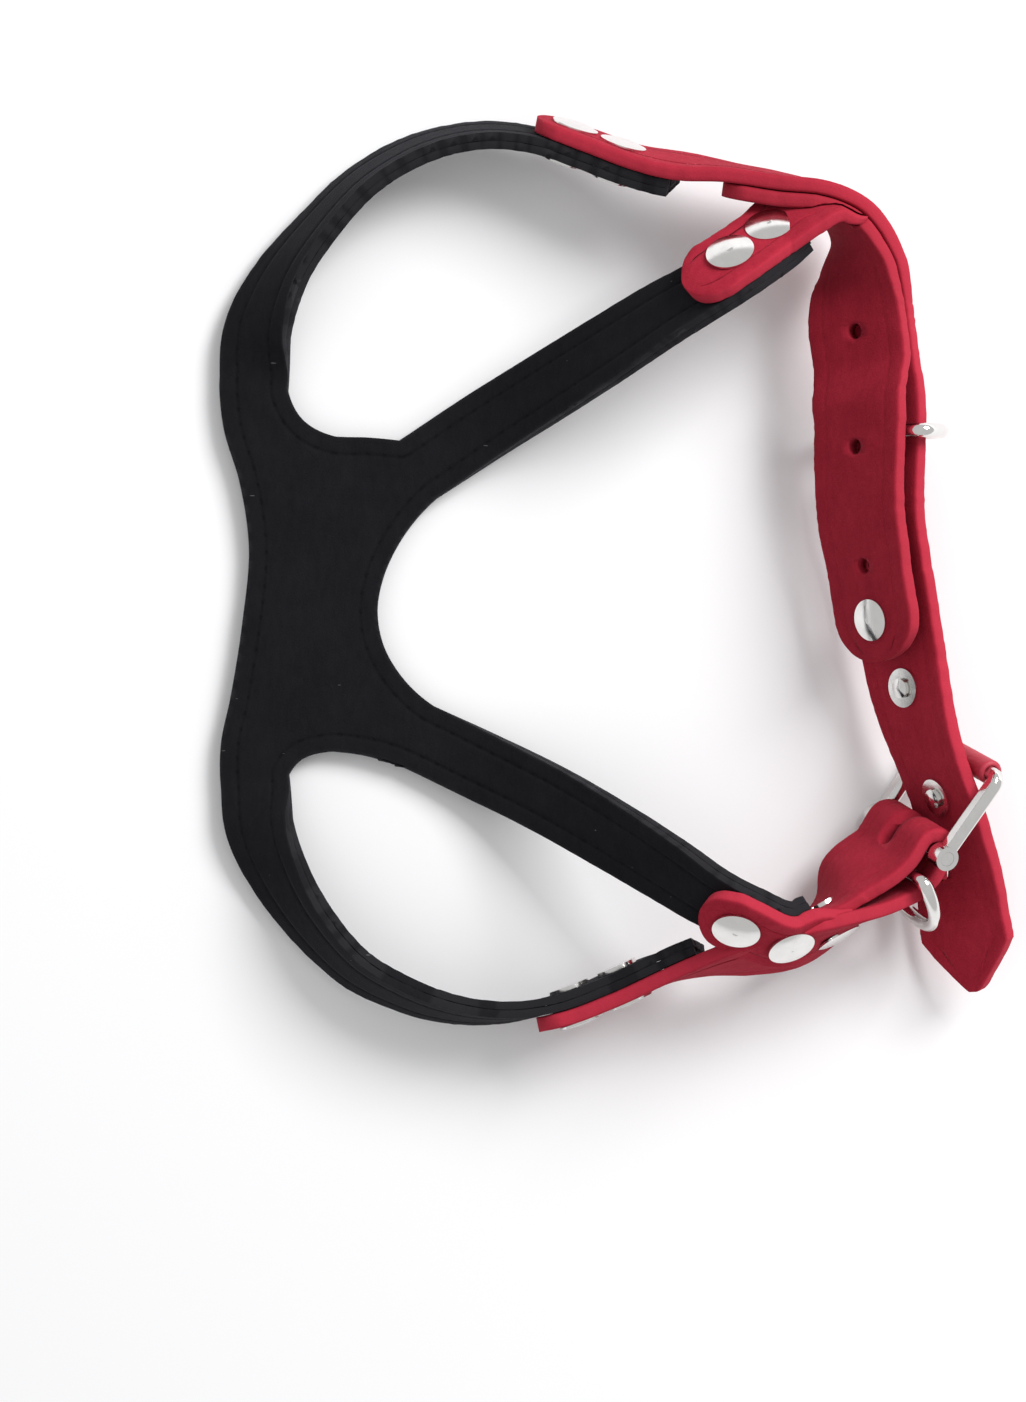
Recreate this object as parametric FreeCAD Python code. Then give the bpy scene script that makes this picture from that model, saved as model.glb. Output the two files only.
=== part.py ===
"""Suede strap harness: a black two-layer panel with two loops, two riveted red yokes,
a doubled red strap with snap studs, two D-rings and a heel-bar buckle.

Millimetres, +Z up.  The panel lies flat at the left (-X); its outer arms twist on edge,
its inner arms rise, and the red straps close the loop round the right (+X) side.
"""
import FreeCAD, Part
import math
import os

V = FreeCAD.Vector

# ---------------------------------------------------------------- leather
PANEL_LAYER = 1.4          # one layer of the black panel
GLUE_GAP = 0.1             # between the two black layers
ARM_WIDTH = 12.0           # every black arm
STRAP_THICK = 2.6          # red suede
STRAP_WIDTH = 18.5         # red straps, for 20 mm hardware
FINGER_WIDTH = 13.0        # riveted fingers of the yokes
LAYER_GAP = 0.15           # between leather layers that lie on each other
SEAT_GAP = 0.3             # between leather and hardware that moves

# ---------------------------------------------------------------- rivets
RIVET_HEAD_R = 4.1         # domed cap on the outside
RIVET_HEAD_T = 0.9
RIVET_BACK_R = 3.6         # flat disc on the inside
RIVET_BACK_T = 0.7
RIVET_TUBE_R = 1.9
RIVET_POST_R = 1.2
RIVET_PITCH = 9.0          # between the two rivets of one finger
RIVET_FIT = 0.05           # radial, post in tube and tube in leather
HEAD_GAP = 0.05            # under heads and discs

# ---------------------------------------------------------------- snaps
SNAP_CAP_R = 3.6
SNAP_CAP_T = 0.8
SNAP_RING_R = 3.4          # flange of stud and socket
SNAP_RING_T = 0.5
SNAP_STUD_R = 1.7          # bead of the stud
SNAP_STUD_H = 1.0          # above its flange
SNAP_SOCKET_R = 2.9
SNAP_SOCKET_H = 1.5
SNAP_CLEAR = 0.35          # socket round stud
SNAP_FIRST_PITCH = 12.5    # from the closed stud to the next
SNAP_PITCH = 20.0          # between the open studs
SNAP_FLOAT = 0.3           # socket above the stud's flange when closed
FLAP_BEYOND_SNAP = 7.4
HOLE_R = 1.4               # sizing holes
HOLE_PITCH = 20.0

# ---------------------------------------------------------------- rings and buckle
RING_ROD_R = 1.25
RING_INNER_WIDTH = 20.0
RING_CORNER_R = 1.6
BUCKLE_INNER_WIDTH = 20.6
BUCKLE_RAIL_WIDTH = 3.0    # in the plane of the frame
BUCKLE_THICK = 2.3         # across the plane
BUCKLE_LENGTH = 19.6       # outside
BUCKLE_EYE_R = 2.1         # bosses of the rails round the heel bar
BUCKLE_EDGE_R = 0.8
BUCKLE_CORNER_R = 3.2
BAR_R = 1.2
BAR_FIT = 0.03
SLEEVE_THICK = 0.8         # suede wrapped round the front rim
SLEEVE_CLEAR = 0.2
FOLD_SLOT_WIDTH = 3.6      # for the tongue, in the fold
FOLD_SLOT_LENGTH = 4.0     # behind the heel bar's centre
TONGUE_LOOP_WIDTH = 2.4
TONGUE_LOOP_R = 2.2
TONGUE_HOLE_WIDTH = 3.2    # slot in the long strap, over the heel bar
TONGUE_HOLE_FRONT = 3.1
TONGUE_HOLE_BACK = 3.0
TONGUE_R = 1.0
TONGUE_LENGTH = 17.0
TONGUE_ANGLE = 80.0        # out from the plane of the frame
RING_TO_BAR = 5.4          # lower D-ring bar behind the heel bar
LOWER_RING_TILT = -17.0    # away from the buckle

# worked out from the sizes above
PANEL_HALF = PANEL_LAYER + GLUE_GAP / 2
RED_OFFSET = PANEL_HALF + LAYER_GAP + STRAP_THICK / 2       # red yokes and outer straps
RED_INNER_FACE = RED_OFFSET - STRAP_THICK / 2
RED_OUTER_FACE = RED_OFFSET + STRAP_THICK / 2
RING_OFFSET = RED_INNER_FACE - SEAT_GAP - RING_ROD_R        # ring bars, between the layers
TUCKED_OFFSET = RED_INNER_FACE - LAYER_GAP - STRAP_THICK / 2   # inner layer against outer
LIFTED_OFFSET = RING_OFFSET - RING_ROD_R - SEAT_GAP - STRAP_THICK / 2   # inner layer past a ring
SNAPPED_GAP = SNAP_RING_T + SNAP_FLOAT + SNAP_SOCKET_H + 2 * HEAD_GAP
SNAPPED_OFFSET = RED_INNER_FACE - SNAPPED_GAP - STRAP_THICK / 2   # inner layer over a snap
ARM_HALF = ARM_WIDTH / 2
STRAP_HALF = STRAP_WIDTH / 2
FINGER_HALF = FINGER_WIDTH / 2
BUCKLE_HALF_IN = BUCKLE_INNER_WIDTH / 2
BUCKLE_HALF_OUT = BUCKLE_HALF_IN + BUCKLE_RAIL_WIDTH
BUCKLE_TIP = BUCKLE_LENGTH - BUCKLE_EYE_R                   # front of the frame, from the bar
BUCKLE_RIM_MID = BUCKLE_TIP - BUCKLE_THICK / 2


def lerp(a, b, t):
    return a + (b - a) * t


class Band:
    """Reference surface of one strap: smooth through stations (x, y, z, lean, half width).

    lean 0 is flat, 90 on edge, more leans outward.  side +1 has the raised edge at the
    right of the direction of travel, -1 at the left.
    """

    def __init__(self, stations, side):
        self.stations = stations
        self.side = side
        self.last = len(stations) - 1

    def _row(self, i):
        return self.stations[max(0, min(self.last, i))]

    def _span(self, s, column):
        """Local parameter, end values and end slopes of the span that holds s."""
        i = max(0, min(self.last - 1, int(math.floor(s))))
        p0, p1, p2, p3 = [self._row(i + k)[column] for k in (-1, 0, 1, 2)]
        m1 = (p2 - p0) / (1.0 if i == 0 else 2.0)
        m2 = (p3 - p1) / (1.0 if i == self.last - 1 else 2.0)
        if i == 0 and column in (2, 3):
            m1 = 0.0          # height and lean ease in from the first station
        return s - i, p1, p2, m1, m2

    def value(self, s, column):
        """Cubic Hermite value of one column at s."""
        t, p1, p2, m1, m2 = self._span(s, column)
        t2, t3 = t * t, t * t * t
        return ((2 * t3 - 3 * t2 + 1) * p1 + (t3 - 2 * t2 + t) * m1
                + (3 * t2 - 2 * t3) * p2 + (t3 - t2) * m2)

    def slope(self, s, column):
        """Its derivative."""
        t, p1, p2, m1, m2 = self._span(s, column)
        t2 = t * t
        return (6 * (t2 - t) * (p1 - p2) + (3 * t2 - 4 * t + 1) * m1 + (3 * t2 - 2 * t) * m2)

    def centre(self, s):
        return V(self.value(s, 0), self.value(s, 1), self.value(s, 2))

    def frame(self, s):
        """Centre, travel, width and outward normal directions at s."""
        along = V(self.slope(s, 0), self.slope(s, 1), self.slope(s, 2))
        along.normalize()
        heading = V(along.x, along.y, 0)
        heading.normalize()
        inward = V(heading.y, -heading.x, 0) * self.side
        up = V(-along.z * heading.x, -along.z * heading.y, math.hypot(along.x, along.y))
        lean = math.radians(self.value(s, 3))
        width = inward * math.cos(lean) + up * math.sin(lean)
        normal = up * math.cos(lean) - inward * math.sin(lean)
        return self.centre(s), along, width, normal

    def point(self, s, across=0.0, out=0.0):
        centre, _, width, normal = self.frame(s)
        return centre + width * across + normal * out

    def placement(self, s, across=0.0, out=0.0):
        """Local X along the strap, Y across it and Z outward."""
        _, along, width, normal = self.frame(s)
        # right-handed whichever side is raised
        y_axis = normal.cross(along)
        m = FreeCAD.Matrix(along.x, y_axis.x, normal.x, 0,
                           along.y, y_axis.y, normal.y, 0,
                           along.z, y_axis.z, normal.z, 0,
                           0, 0, 0, 1)
        place = FreeCAD.Placement(m)
        place.Base = self.point(s, across, out)
        return place

    def step_along(self, s, distance):
        """The station value that lies a distance further along the band."""
        step = 0.02 if distance > 0 else -0.02
        left = abs(distance)
        here = self.centre(s)
        while left > 0 and 0 <= s + step <= self.last:
            there = self.centre(s + step)
            left -= (there - here).Length
            here = there
            s += step
        return s


def round_end(length):
    """Half-width share of a rounded strap end at a distance from its tip."""
    def share(distance):
        x = 1 - min(distance, length) / length
        return max(0.12, math.sqrt(max(0.0, 1 - x * x)))
    return share, [length * k for k in (0.03, 0.14, 0.36, 0.66, 1.0)]


def pointed_end(length):
    """The same for a strap cut to a blunt point."""
    def share(distance):
        return 0.1 + 0.9 * min(1.0, distance / length) ** 0.85
    return share, [length * k for k in (0.1, 0.3, 0.55, 0.8, 1.0)]


def ribbon(band, s_from, s_to, thick, out, half=None, start=None, end=None):
    """Solid strap along a band; thick and out are numbers or functions of s.

    start and end shape its two tips, as round_end and pointed_end give them.
    """
    count = int(round(2 * abs(s_to - s_from))) + 1
    places = [lerp(s_from, s_to, k / count) for k in range(count + 1)]
    for tip, profile, sign in ((s_from, start, 1), (s_to, end, -1)):
        if profile:
            near = [band.step_along(tip, sign * d) for d in profile[1]]
            places = [s for s in places if abs(s - tip) > abs(near[-1] - tip) + 0.2 or s == tip]
            places += near
    wires = []
    for s in sorted(set(places)):
        h = band.value(s, 4) if half is None else half
        for tip, profile in ((s_from, start), (s_to, end)):
            if profile:
                h *= profile[0]((band.centre(s) - band.centre(tip)).Length)
        o = out(s) if callable(out) else out
        t = (thick(s) if callable(thick) else thick) / 2
        corners = [band.point(s, -h, o - t), band.point(s, h, o - t),
                   band.point(s, h, o + t), band.point(s, -h, o + t)]
        wires.append(Part.makePolygon(corners + corners[:1]))
    return Part.makeLoft(wires, True, False)


# ---------------------------------------------------------------- where the straps run
# x, y, z, lean, half width; the black panel's middle, or the layer inside the red strap
UPPER = Band([
    (-63.6, 32.2, PANEL_HALF, 0, ARM_HALF),
    (-62.7, 42.1, 3.9, 24, ARM_HALF),
    (-58.8, 51.0, 5.5, 45, ARM_HALF),
    (-53.1, 58.6, 6.6, 57, ARM_HALF),
    (-45.8, 66.4, 7.2, 63, ARM_HALF),
    (-38.5, 71.3, 7.6, 66, ARM_HALF),
    (-30.5, 74.4, 7.9, 69, ARM_HALF),
    (-22.0, 75.5, 8.2, 71, ARM_HALF),
    (-13.8, 74.4, 8.8, 72, ARM_HALF),
    (-6.0, 71.6, 9.7, 72, FINGER_HALF),
    (2.0, 68.6, 10.8, 71, FINGER_HALF),
    (10.5, 66.6, 12.4, 68, FINGER_HALF),
    (18.8, 65.2, 14.0, 65, 8.4),
    (27.0, 64.0, 15.2, 67, STRAP_HALF),
    (34.2, 62.0, 15.9, 78, STRAP_HALF),
    (39.0, 57.8, 16.1, 98, STRAP_HALF),
    (40.6, 51.2, 16.1, 122, STRAP_HALF),
    (41.0, 43.8, 16.0, 137, STRAP_HALF),
    (42.2, 35.5, 15.8, 140, STRAP_HALF),
    (43.0, 26.5, 15.5, 137, STRAP_HALF),
    (43.0, 17.5, 15.0, 135, STRAP_HALF),
    (43.2, 8.5, 14.4, 132, STRAP_HALF),
    (44.6, 0.0, 13.8, 129, STRAP_HALF),
    (46.0, -8.8, 13.3, 129, STRAP_HALF),
    (47.5, -17.5, 13.1, 128, STRAP_HALF),
    (49.2, -26.0, 13.7, 123, STRAP_HALF),
    (51.5, -34.2, 14.4, 117, STRAP_HALF),
    (54.6, -43.0, 14.2, 118, STRAP_HALF),
    (56.7, -52.4, 12.4, 129, STRAP_HALF),
    (58.3, -61.6, 11.0, 136, STRAP_HALF),
    (60.0, -70.4, 10.2, 138, STRAP_HALF),
], +1)

# the buckle's own axes: along the frame, across it and outward
BUCKLE_CENTRE = V(55.1, -39.2, 13.2)
BUCKLE_HEADING = math.radians(55.2)
BUCKLE_LEAN = 116.6
BAR_POINT = BUCKLE_CENTRE - V(math.cos(BUCKLE_HEADING), math.sin(BUCKLE_HEADING), 0) * 8.4
RING_POINT = BAR_POINT - V(math.cos(BUCKLE_HEADING), math.sin(BUCKLE_HEADING), 0) * RING_TO_BAR

LOWER = Band([
    (-63.4, -36.5, PANEL_HALF, 0, ARM_HALF),
    (-62.3, -45.2, 3.9, 22, ARM_HALF),
    (-58.6, -53.6, 5.4, 40, ARM_HALF),
    (-53.2, -61.6, 6.6, 53, ARM_HALF),
    (-46.0, -69.0, 7.3, 61, ARM_HALF),
    (-37.6, -73.6, 7.7, 67, ARM_HALF),
    (-28.8, -76.3, 7.9, 73, ARM_HALF),
    (-19.8, -76.9, 8.2, 80, ARM_HALF),
    (-10.8, -75.2, 9.0, 86, FINGER_HALF),
    (-2.2, -71.8, 10.0, 88, FINGER_HALF),
    (6.0, -68.2, 11.4, 86, FINGER_HALF),
    (14.0, -65.6, 13.0, 77, FINGER_HALF),
    (21.8, -64.0, 14.4, 69, 8.4),
    (29.4, -62.2, 15.2, 68, STRAP_HALF),
    (36.0, -59.4, 14.8, 78, STRAP_HALF),
    (42.0, -55.3, 14.0, 98, STRAP_HALF),
    (RING_POINT.x, RING_POINT.y, BUCKLE_CENTRE.z, BUCKLE_LEAN, STRAP_HALF),
    (BAR_POINT.x, BAR_POINT.y, BUCKLE_CENTRE.z, BUCKLE_LEAN, STRAP_HALF),
], -1)


def station(point, lean, half):
    return (point.x, point.y, point.z, lean, half)


# the black inner arms rise from the flat panel and arch over to the yokes, and the inner
# fingers run on into the necks, at the raised edge
UPPER_INNER = Band([
    (-34.8, 17.8, PANEL_HALF, 0, ARM_HALF),
    (-23.6, 25.0, 3.2, 8, ARM_HALF),
    (-13.0, 31.2, 8.2, 15, ARM_HALF),
    (-2.4, 37.2, 15.6, 24, ARM_HALF),
    (7.0, 42.6, 22.0, 33, ARM_HALF),
    (14.1, 46.4, 25.4, 40, ARM_HALF),
    (20.2, 50.2, 24.8, 43, ARM_HALF),
    (25.6, 54.2, 21.4, 43, ARM_HALF),
    (30.6, 57.6, 19.6, 52, FINGER_HALF),
    station(UPPER.point(14.2, 2.6), 70, FINGER_HALF),
    station(UPPER.point(14.9, 1.6), 90, FINGER_HALF),
], +1)
LOWER_INNER = Band([
    (-34.6, -29.1, PANEL_HALF, 0, ARM_HALF),
    (-23.9, -34.1, 3.2, 8, ARM_HALF),
    (-12.6, -39.5, 8.2, 15, ARM_HALF),
    (-1.2, -45.8, 15.0, 24, ARM_HALF),
    (8.2, -51.4, 20.8, 34, ARM_HALF),
    (15.2, -55.8, 24.2, 43, ARM_HALF),
    (21.4, -58.8, 23.8, 48, ARM_HALF),
    (27.4, -61.2, 20.6, 49, ARM_HALF),
    station(LOWER.point(13.6, 2.6), 62, FINGER_HALF),
    station(LOWER.point(14.3, 1.6), 76, FINGER_HALF),
], -1)



# the fold-back layer of the lower strap, from its riveted end to the heel bar
FOLD_OFFSET = -RED_OFFSET
LEAF_TIP = 13.15
FOLD_RIVET = 13.95
LEAF = Band([
    station(LOWER.point(LEAF_TIP, -1.2, TUCKED_OFFSET), 68, 7.6),
    station(LOWER.point(FOLD_RIVET + 0.2, -0.8, TUCKED_OFFSET), 80, 8.6),
    (40.3, -54.4, 14.3, 103, STRAP_HALF),
    station(LOWER.point(LOWER.last - 1, 0, FOLD_OFFSET), BUCKLE_LEAN, STRAP_HALF),
    station(LOWER.point(LOWER.last, 0, FOLD_OFFSET), BUCKLE_LEAN, STRAP_HALF),
], -1)

# places along the bands, counted in stations
UPPER_ARM_END = 10.9
UPPER_FINGER_TIP = 7.9
UPPER_OUTER_RIVET = 8.65
UPPER_INNER_ARM_END = 7.7
UPPER_INNER_FINGER_TIP = 4.75
UPPER_INNER_RIVET = 5.85
LOWER_ARM_END = 11.0
LOWER_FINGER_TIP = 7.6
LOWER_OUTER_RIVET = 8.35
LOWER_INNER_ARM_END = 7.5
LOWER_INNER_FINGER_TIP = 5.0
LOWER_INNER_RIVET = 5.8
SIZE_STRAP_TIP = 11.9
SIZE_HOLE = 17.4
RING_STATION = 19.33
SNAP_STATION = 22.95


def outline_face(runs):
    """Planar face from runs of points: two points make a line, more a smooth curve."""
    edges = []
    for run in runs:
        if len(run) == 2:
            edges.append(Part.LineSegment(V(*run[0]), V(*run[1])).toShape())
        else:
            curve = Part.BSplineCurve()
            curve.interpolate([V(*p) for p in run])
            edges.append(curve.toShape())
    return Part.Face(Part.Wire(edges))


def arm_root(band, sign):
    """The two corners of an arm's flat end in plan, on its outer or inner side."""
    p = band.point(0.0, sign * ARM_HALF)
    return (p.x, p.y, 0.0)


def bridge(z_low, thick):
    """The flat middle of the panel, between the roots of its four arms."""
    runs = [
        [arm_root(UPPER, -1), (-68.9, 25.4, 0), (-66.0, 15.4, 0), (-64.4, 4.4, 0),
         (-65.5, -8.8, 0), (-67.7, -22.6, 0), (-69.3, -30.4, 0), arm_root(LOWER, -1)],
        [arm_root(LOWER, -1), arm_root(LOWER, +1)],
        [arm_root(LOWER, +1), (-55.6, -33.4, 0), (-51.0, -31.8, 0), (-45.0, -32.2, 0),
         arm_root(LOWER_INNER, -1)],
        [arm_root(LOWER_INNER, -1), arm_root(LOWER_INNER, +1)],
        [arm_root(LOWER_INNER, +1), (-37.6, -18.6, 0), (-41.0, -12.6, 0), (-41.9, -6.4, 0),
         (-40.9, -1.2, 0), (-38.4, 4.4, 0), arm_root(UPPER_INNER, +1)],
        [arm_root(UPPER_INNER, +1), arm_root(UPPER_INNER, -1)],
        [arm_root(UPPER_INNER, -1), (-43.8, 23.4, 0), (-49.4, 23.6, 0), (-54.6, 26.2, 0),
         arm_root(UPPER, +1)],
        [arm_root(UPPER, +1), arm_root(UPPER, -1)],
    ]
    face = outline_face(runs)
    face.translate(V(0, 0, z_low))
    return face.extrude(V(0, 0, thick))


def join_end_to_end(solids):
    """One solid from pieces that share whole end faces: the shared faces are left out."""
    faces = [face for solid in solids for face in solid.Faces]

    def twin(face):
        return any(other is not face and (other.CenterOfMass - face.CenterOfMass).Length < 1e-3
                   and abs(other.Area - face.Area) < 1e-2 for other in faces)

    skin = Part.Compound([face for face in faces if not twin(face)])
    skin.sewShape(1e-3)
    solid = Part.Solid(skin.Shells[0])
    if solid.Volume < 0:
        solid.reverse()
    return solid


def panel_layer(out):
    """One black layer: the flat bridge with its four arms."""
    return join_end_to_end([
        bridge(PANEL_HALF + out - PANEL_LAYER / 2, PANEL_LAYER),
        ribbon(UPPER, 0.0, UPPER_ARM_END, PANEL_LAYER, out, ARM_HALF),
        ribbon(LOWER, 0.0, LOWER_ARM_END, PANEL_LAYER, out, ARM_HALF),
        ribbon(UPPER_INNER, 0.0, UPPER_INNER_ARM_END, PANEL_LAYER, out, ARM_HALF),
        ribbon(LOWER_INNER, 0.0, LOWER_INNER_ARM_END, PANEL_LAYER, out, ARM_HALF),
    ])


# ---------------------------------------------------------------- fasteners, made along Z
def disc(radius, z_from, height):
    return Part.makeCylinder(radius, height, V(0, 0, z_from))


def domed_disc(radius, z_from, height, rim):
    """Disc with a low domed top and a straight rim."""
    rise = height - rim
    ball = (radius * radius + rise * rise) / (2 * rise)
    dome = Part.makeSphere(ball, V(0, 0, z_from + height - ball))
    return disc(radius, z_from, height).common(dome)


class Rivet:
    """Two-part rivet through a stack of leather, Z outward from the band's surface."""

    def __init__(self, outer_face, inner_face):
        self.top = outer_face + HEAD_GAP
        self.bottom = inner_face - HEAD_GAP

    def cap(self):
        bore_top = self.top - HEAD_GAP
        tube = disc(RIVET_TUBE_R, self.bottom + HEAD_GAP, self.top - self.bottom)
        head = domed_disc(RIVET_HEAD_R, self.top, RIVET_HEAD_T, RIVET_HEAD_T * 0.4)
        bore = disc(RIVET_POST_R + RIVET_FIT, self.bottom - 1, bore_top - self.bottom + 1)
        return head.fuse(tube).cut(bore)

    def post(self):
        back = disc(RIVET_BACK_R, self.bottom - RIVET_BACK_T, RIVET_BACK_T)
        stem = disc(RIVET_POST_R, self.bottom - RIVET_BACK_T / 2, self.top - self.bottom - HEAD_GAP)
        return back.fuse(stem)

    def pocket(self):
        """What the rivet takes out of the leather, its pressed-in seats included."""
        deep = RIVET_HEAD_T * 4
        return disc(RIVET_TUBE_R + RIVET_FIT, self.bottom, self.top - self.bottom).fuse([
            disc(RIVET_HEAD_R + HEAD_GAP, self.top - HEAD_GAP, deep),
            disc(RIVET_BACK_R + HEAD_GAP, self.bottom + HEAD_GAP - deep, deep)])


class SnapStud:
    """Stud on the strap's inner face, held by an eyelet from its outer face.

    Z points inward here, from the strap's middle surface.
    """

    def __init__(self):
        self.face = STRAP_THICK / 2 + HEAD_GAP

    def stud(self):
        ring = disc(SNAP_RING_R, self.face, SNAP_RING_T)
        neck = disc(SNAP_STUD_R - 0.25, self.face + SNAP_RING_T, 0.5)
        bead = domed_disc(SNAP_STUD_R, self.face + SNAP_RING_T + 0.4, SNAP_STUD_H - 0.4, 0.3)
        return ring.fuse([neck, bead]).cut(disc(RIVET_POST_R + RIVET_FIT, -9, 9 + self.face + 0.7))

    def eyelet(self):
        flange = disc(SNAP_RING_R, -self.face - SNAP_RING_T, SNAP_RING_T)
        stem = disc(RIVET_POST_R, -self.face - SNAP_RING_T / 2, 2 * self.face + 0.7)
        return flange.fuse(stem)

    def pocket(self):
        deep = SNAP_RING_T * 5
        return disc(RIVET_POST_R + RIVET_FIT, -self.face, 2 * self.face).fuse([
            disc(SNAP_RING_R + HEAD_GAP, self.face - HEAD_GAP, deep),
            disc(SNAP_RING_R + HEAD_GAP, -self.face + HEAD_GAP - deep, deep)])


class SnapCap:
    """Cap and socket on the end of the inner strap; Z inward from the strap's middle."""

    def __init__(self):
        self.face = STRAP_THICK / 2 + HEAD_GAP

    def cap(self):
        head = domed_disc(SNAP_CAP_R, self.face, SNAP_CAP_T, SNAP_CAP_T * 0.5)
        stem = disc(RIVET_POST_R, -self.face, 2 * self.face + SNAP_CAP_T / 2)
        return head.fuse(stem)

    def socket(self):
        low = -self.face - SNAP_SOCKET_H
        ring = disc(SNAP_RING_R, -self.face - SNAP_RING_T, SNAP_RING_T)
        cup = disc(SNAP_SOCKET_R, low, SNAP_SOCKET_H)
        depth = SNAP_STUD_H - SNAP_FLOAT + SNAP_CLEAR - 0.1
        hollow = disc(SNAP_STUD_R + SNAP_CLEAR, low - 1, 1 + depth)
        return cup.fuse(ring).cut(hollow).cut(disc(RIVET_POST_R + RIVET_FIT, -self.face - 1, 2))

    def pocket(self):
        deep = SNAP_CAP_T * 4
        return disc(RIVET_POST_R + RIVET_FIT, -self.face, 2 * self.face).fuse([
            disc(SNAP_CAP_R + HEAD_GAP, self.face - HEAD_GAP, deep),
            disc(SNAP_RING_R + HEAD_GAP, -self.face + HEAD_GAP - deep, deep)])


def placed(shape, placement):
    shape = shape.copy()
    shape.Placement = placement.multiply(shape.Placement)
    return shape


def turned_inward(placement):
    """The same place with Z pointing to the inside of the loop."""
    return placement.multiply(FreeCAD.Placement(V(0, 0, 0), V(1, 0, 0), 180))


def tidy(shape):
    shape = shape.removeSplitter()
    return shape.Solids[0] if len(shape.Solids) == 1 else shape


# ---------------------------------------------------------------- D-ring, made flat
def d_ring():
    """Closed D of round rod: the bar on the Y axis, the bow towards +Z."""
    half = RING_INNER_WIDTH / 2 + RING_ROD_R
    c = RING_CORNER_R
    cut = c * (1 - math.sqrt(0.5))
    path = Part.Wire([
        Part.LineSegment(V(0, -half + c, 0), V(0, half - c, 0)).toShape(),
        Part.Arc(V(0, half - c, 0), V(0, half - cut, cut), V(0, half, c)).toShape(),
        Part.Arc(V(0, half, c), V(0, 0, c + half), V(0, -half, c)).toShape(),
        Part.Arc(V(0, -half, c), V(0, -half + cut, cut), V(0, -half + c, 0)).toShape(),
    ])
    section = Part.Wire(Part.makeCircle(RING_ROD_R, V(0, 0, 0), V(0, 1, 0)))
    sweep = Part.BRepOffsetAPI.MakePipeShell(path)
    sweep.add(section)
    sweep.setTransitionMode(2)
    sweep.build()
    sweep.makeSolid()
    return sweep.shape()


# ---------------------------------------------------------------- buckle, flat, from its heel bar
# local X along the frame from the heel bar to the front rim, Y across, Z outward
def buckle_frame():
    """Two rails with bosses for the heel bar, joined by the front rim."""
    outside = Part.makeBox(BUCKLE_TIP, 2 * BUCKLE_HALF_OUT, BUCKLE_THICK,
                           V(0, -BUCKLE_HALF_OUT, -BUCKLE_THICK / 2))
    window = Part.makeBox(BUCKLE_TIP - BUCKLE_THICK + 9, 2 * BUCKLE_HALF_IN, 9,
                          V(-9, -BUCKLE_HALF_IN, -4.5))
    frame = outside.cut(window)
    corners = [e for e in frame.Edges if abs(e.CenterOfMass.x - BUCKLE_TIP) < 1e-6
               and abs(e.CenterOfMass.z) < 1e-6]
    frame = frame.makeFillet(BUCKLE_CORNER_R, corners)
    frame = frame.makeFillet(BUCKLE_EDGE_R, [e for e in frame.Edges if abs(e.CenterOfMass.z) > 1])
    for y in (-BUCKLE_HALF_OUT, BUCKLE_HALF_IN):
        frame = frame.fuse(Part.makeCylinder(BUCKLE_EYE_R, BUCKLE_RAIL_WIDTH, V(0, y, 0),
                                             V(0, 1, 0)))
    eye = Part.makeCylinder(BAR_R + BAR_FIT, 4 * BUCKLE_HALF_OUT, V(0, -2 * BUCKLE_HALF_OUT, 0),
                            V(0, 1, 0))
    return frame.cut(eye)


def buckle_bar():
    length = 2 * (BUCKLE_HALF_OUT - BAR_FIT)
    return Part.makeCylinder(BAR_R, length, V(0, -length / 2, 0), V(0, 1, 0))


def buckle_sleeve():
    """Suede rolled round the front rim, between the rails."""
    length = 2 * (BUCKLE_HALF_IN - BUCKLE_EDGE_R - LAYER_GAP)
    inner = BUCKLE_THICK / 2 + SLEEVE_CLEAR
    place = (length, V(BUCKLE_RIM_MID, -length / 2, 0), V(0, 1, 0))
    return Part.makeCylinder(inner + SLEEVE_THICK, *place).cut(Part.makeCylinder(inner, *place))


def buckle_tongue():
    """Round tongue with a loop for the heel bar, standing out through the long strap."""
    loop = Part.makeCylinder(TONGUE_LOOP_R, TONGUE_LOOP_WIDTH, V(0, -TONGUE_LOOP_WIDTH / 2, 0),
                             V(0, 1, 0))
    shank_start = (TONGUE_LOOP_R + BAR_R) / 2
    shank = Part.makeCylinder(TONGUE_R, TONGUE_LENGTH - TONGUE_R - shank_start,
                              V(shank_start, 0, 0), V(1, 0, 0))
    tip = Part.makeSphere(TONGUE_R, V(TONGUE_LENGTH - TONGUE_R, 0, 0))
    eye = Part.makeCylinder(BAR_R + BAR_FIT, 4 * TONGUE_LOOP_WIDTH,
                            V(0, -2 * TONGUE_LOOP_WIDTH, 0), V(0, 1, 0))
    tongue = loop.fuse([shank, tip]).cut(eye)
    tongue.rotate(V(0, 0, 0), V(0, 1, 0), -TONGUE_ANGLE)
    return tongue


def fold_round_bar():
    """Half tube of strap leather that turns round the heel bar, local axes of the buckle."""
    width = 2 * STRAP_HALF
    base = V(0, -STRAP_HALF, 0)
    tube = Part.makeCylinder(RED_OUTER_FACE, width, base, V(0, 1, 0)).cut(
        Part.makeCylinder(RED_INNER_FACE, width, base, V(0, 1, 0)))
    return tube.common(Part.makeBox(9, width, 30, V(0, -STRAP_HALF, -15)))


def fold_slot():
    """Opening for the tongue, through both layers of the fold."""
    tall = 4 * RED_OUTER_FACE
    return Part.makeBox(FOLD_SLOT_LENGTH + tall, FOLD_SLOT_WIDTH, tall,
                        V(-FOLD_SLOT_LENGTH, -FOLD_SLOT_WIDTH / 2, -tall / 2))


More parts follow.
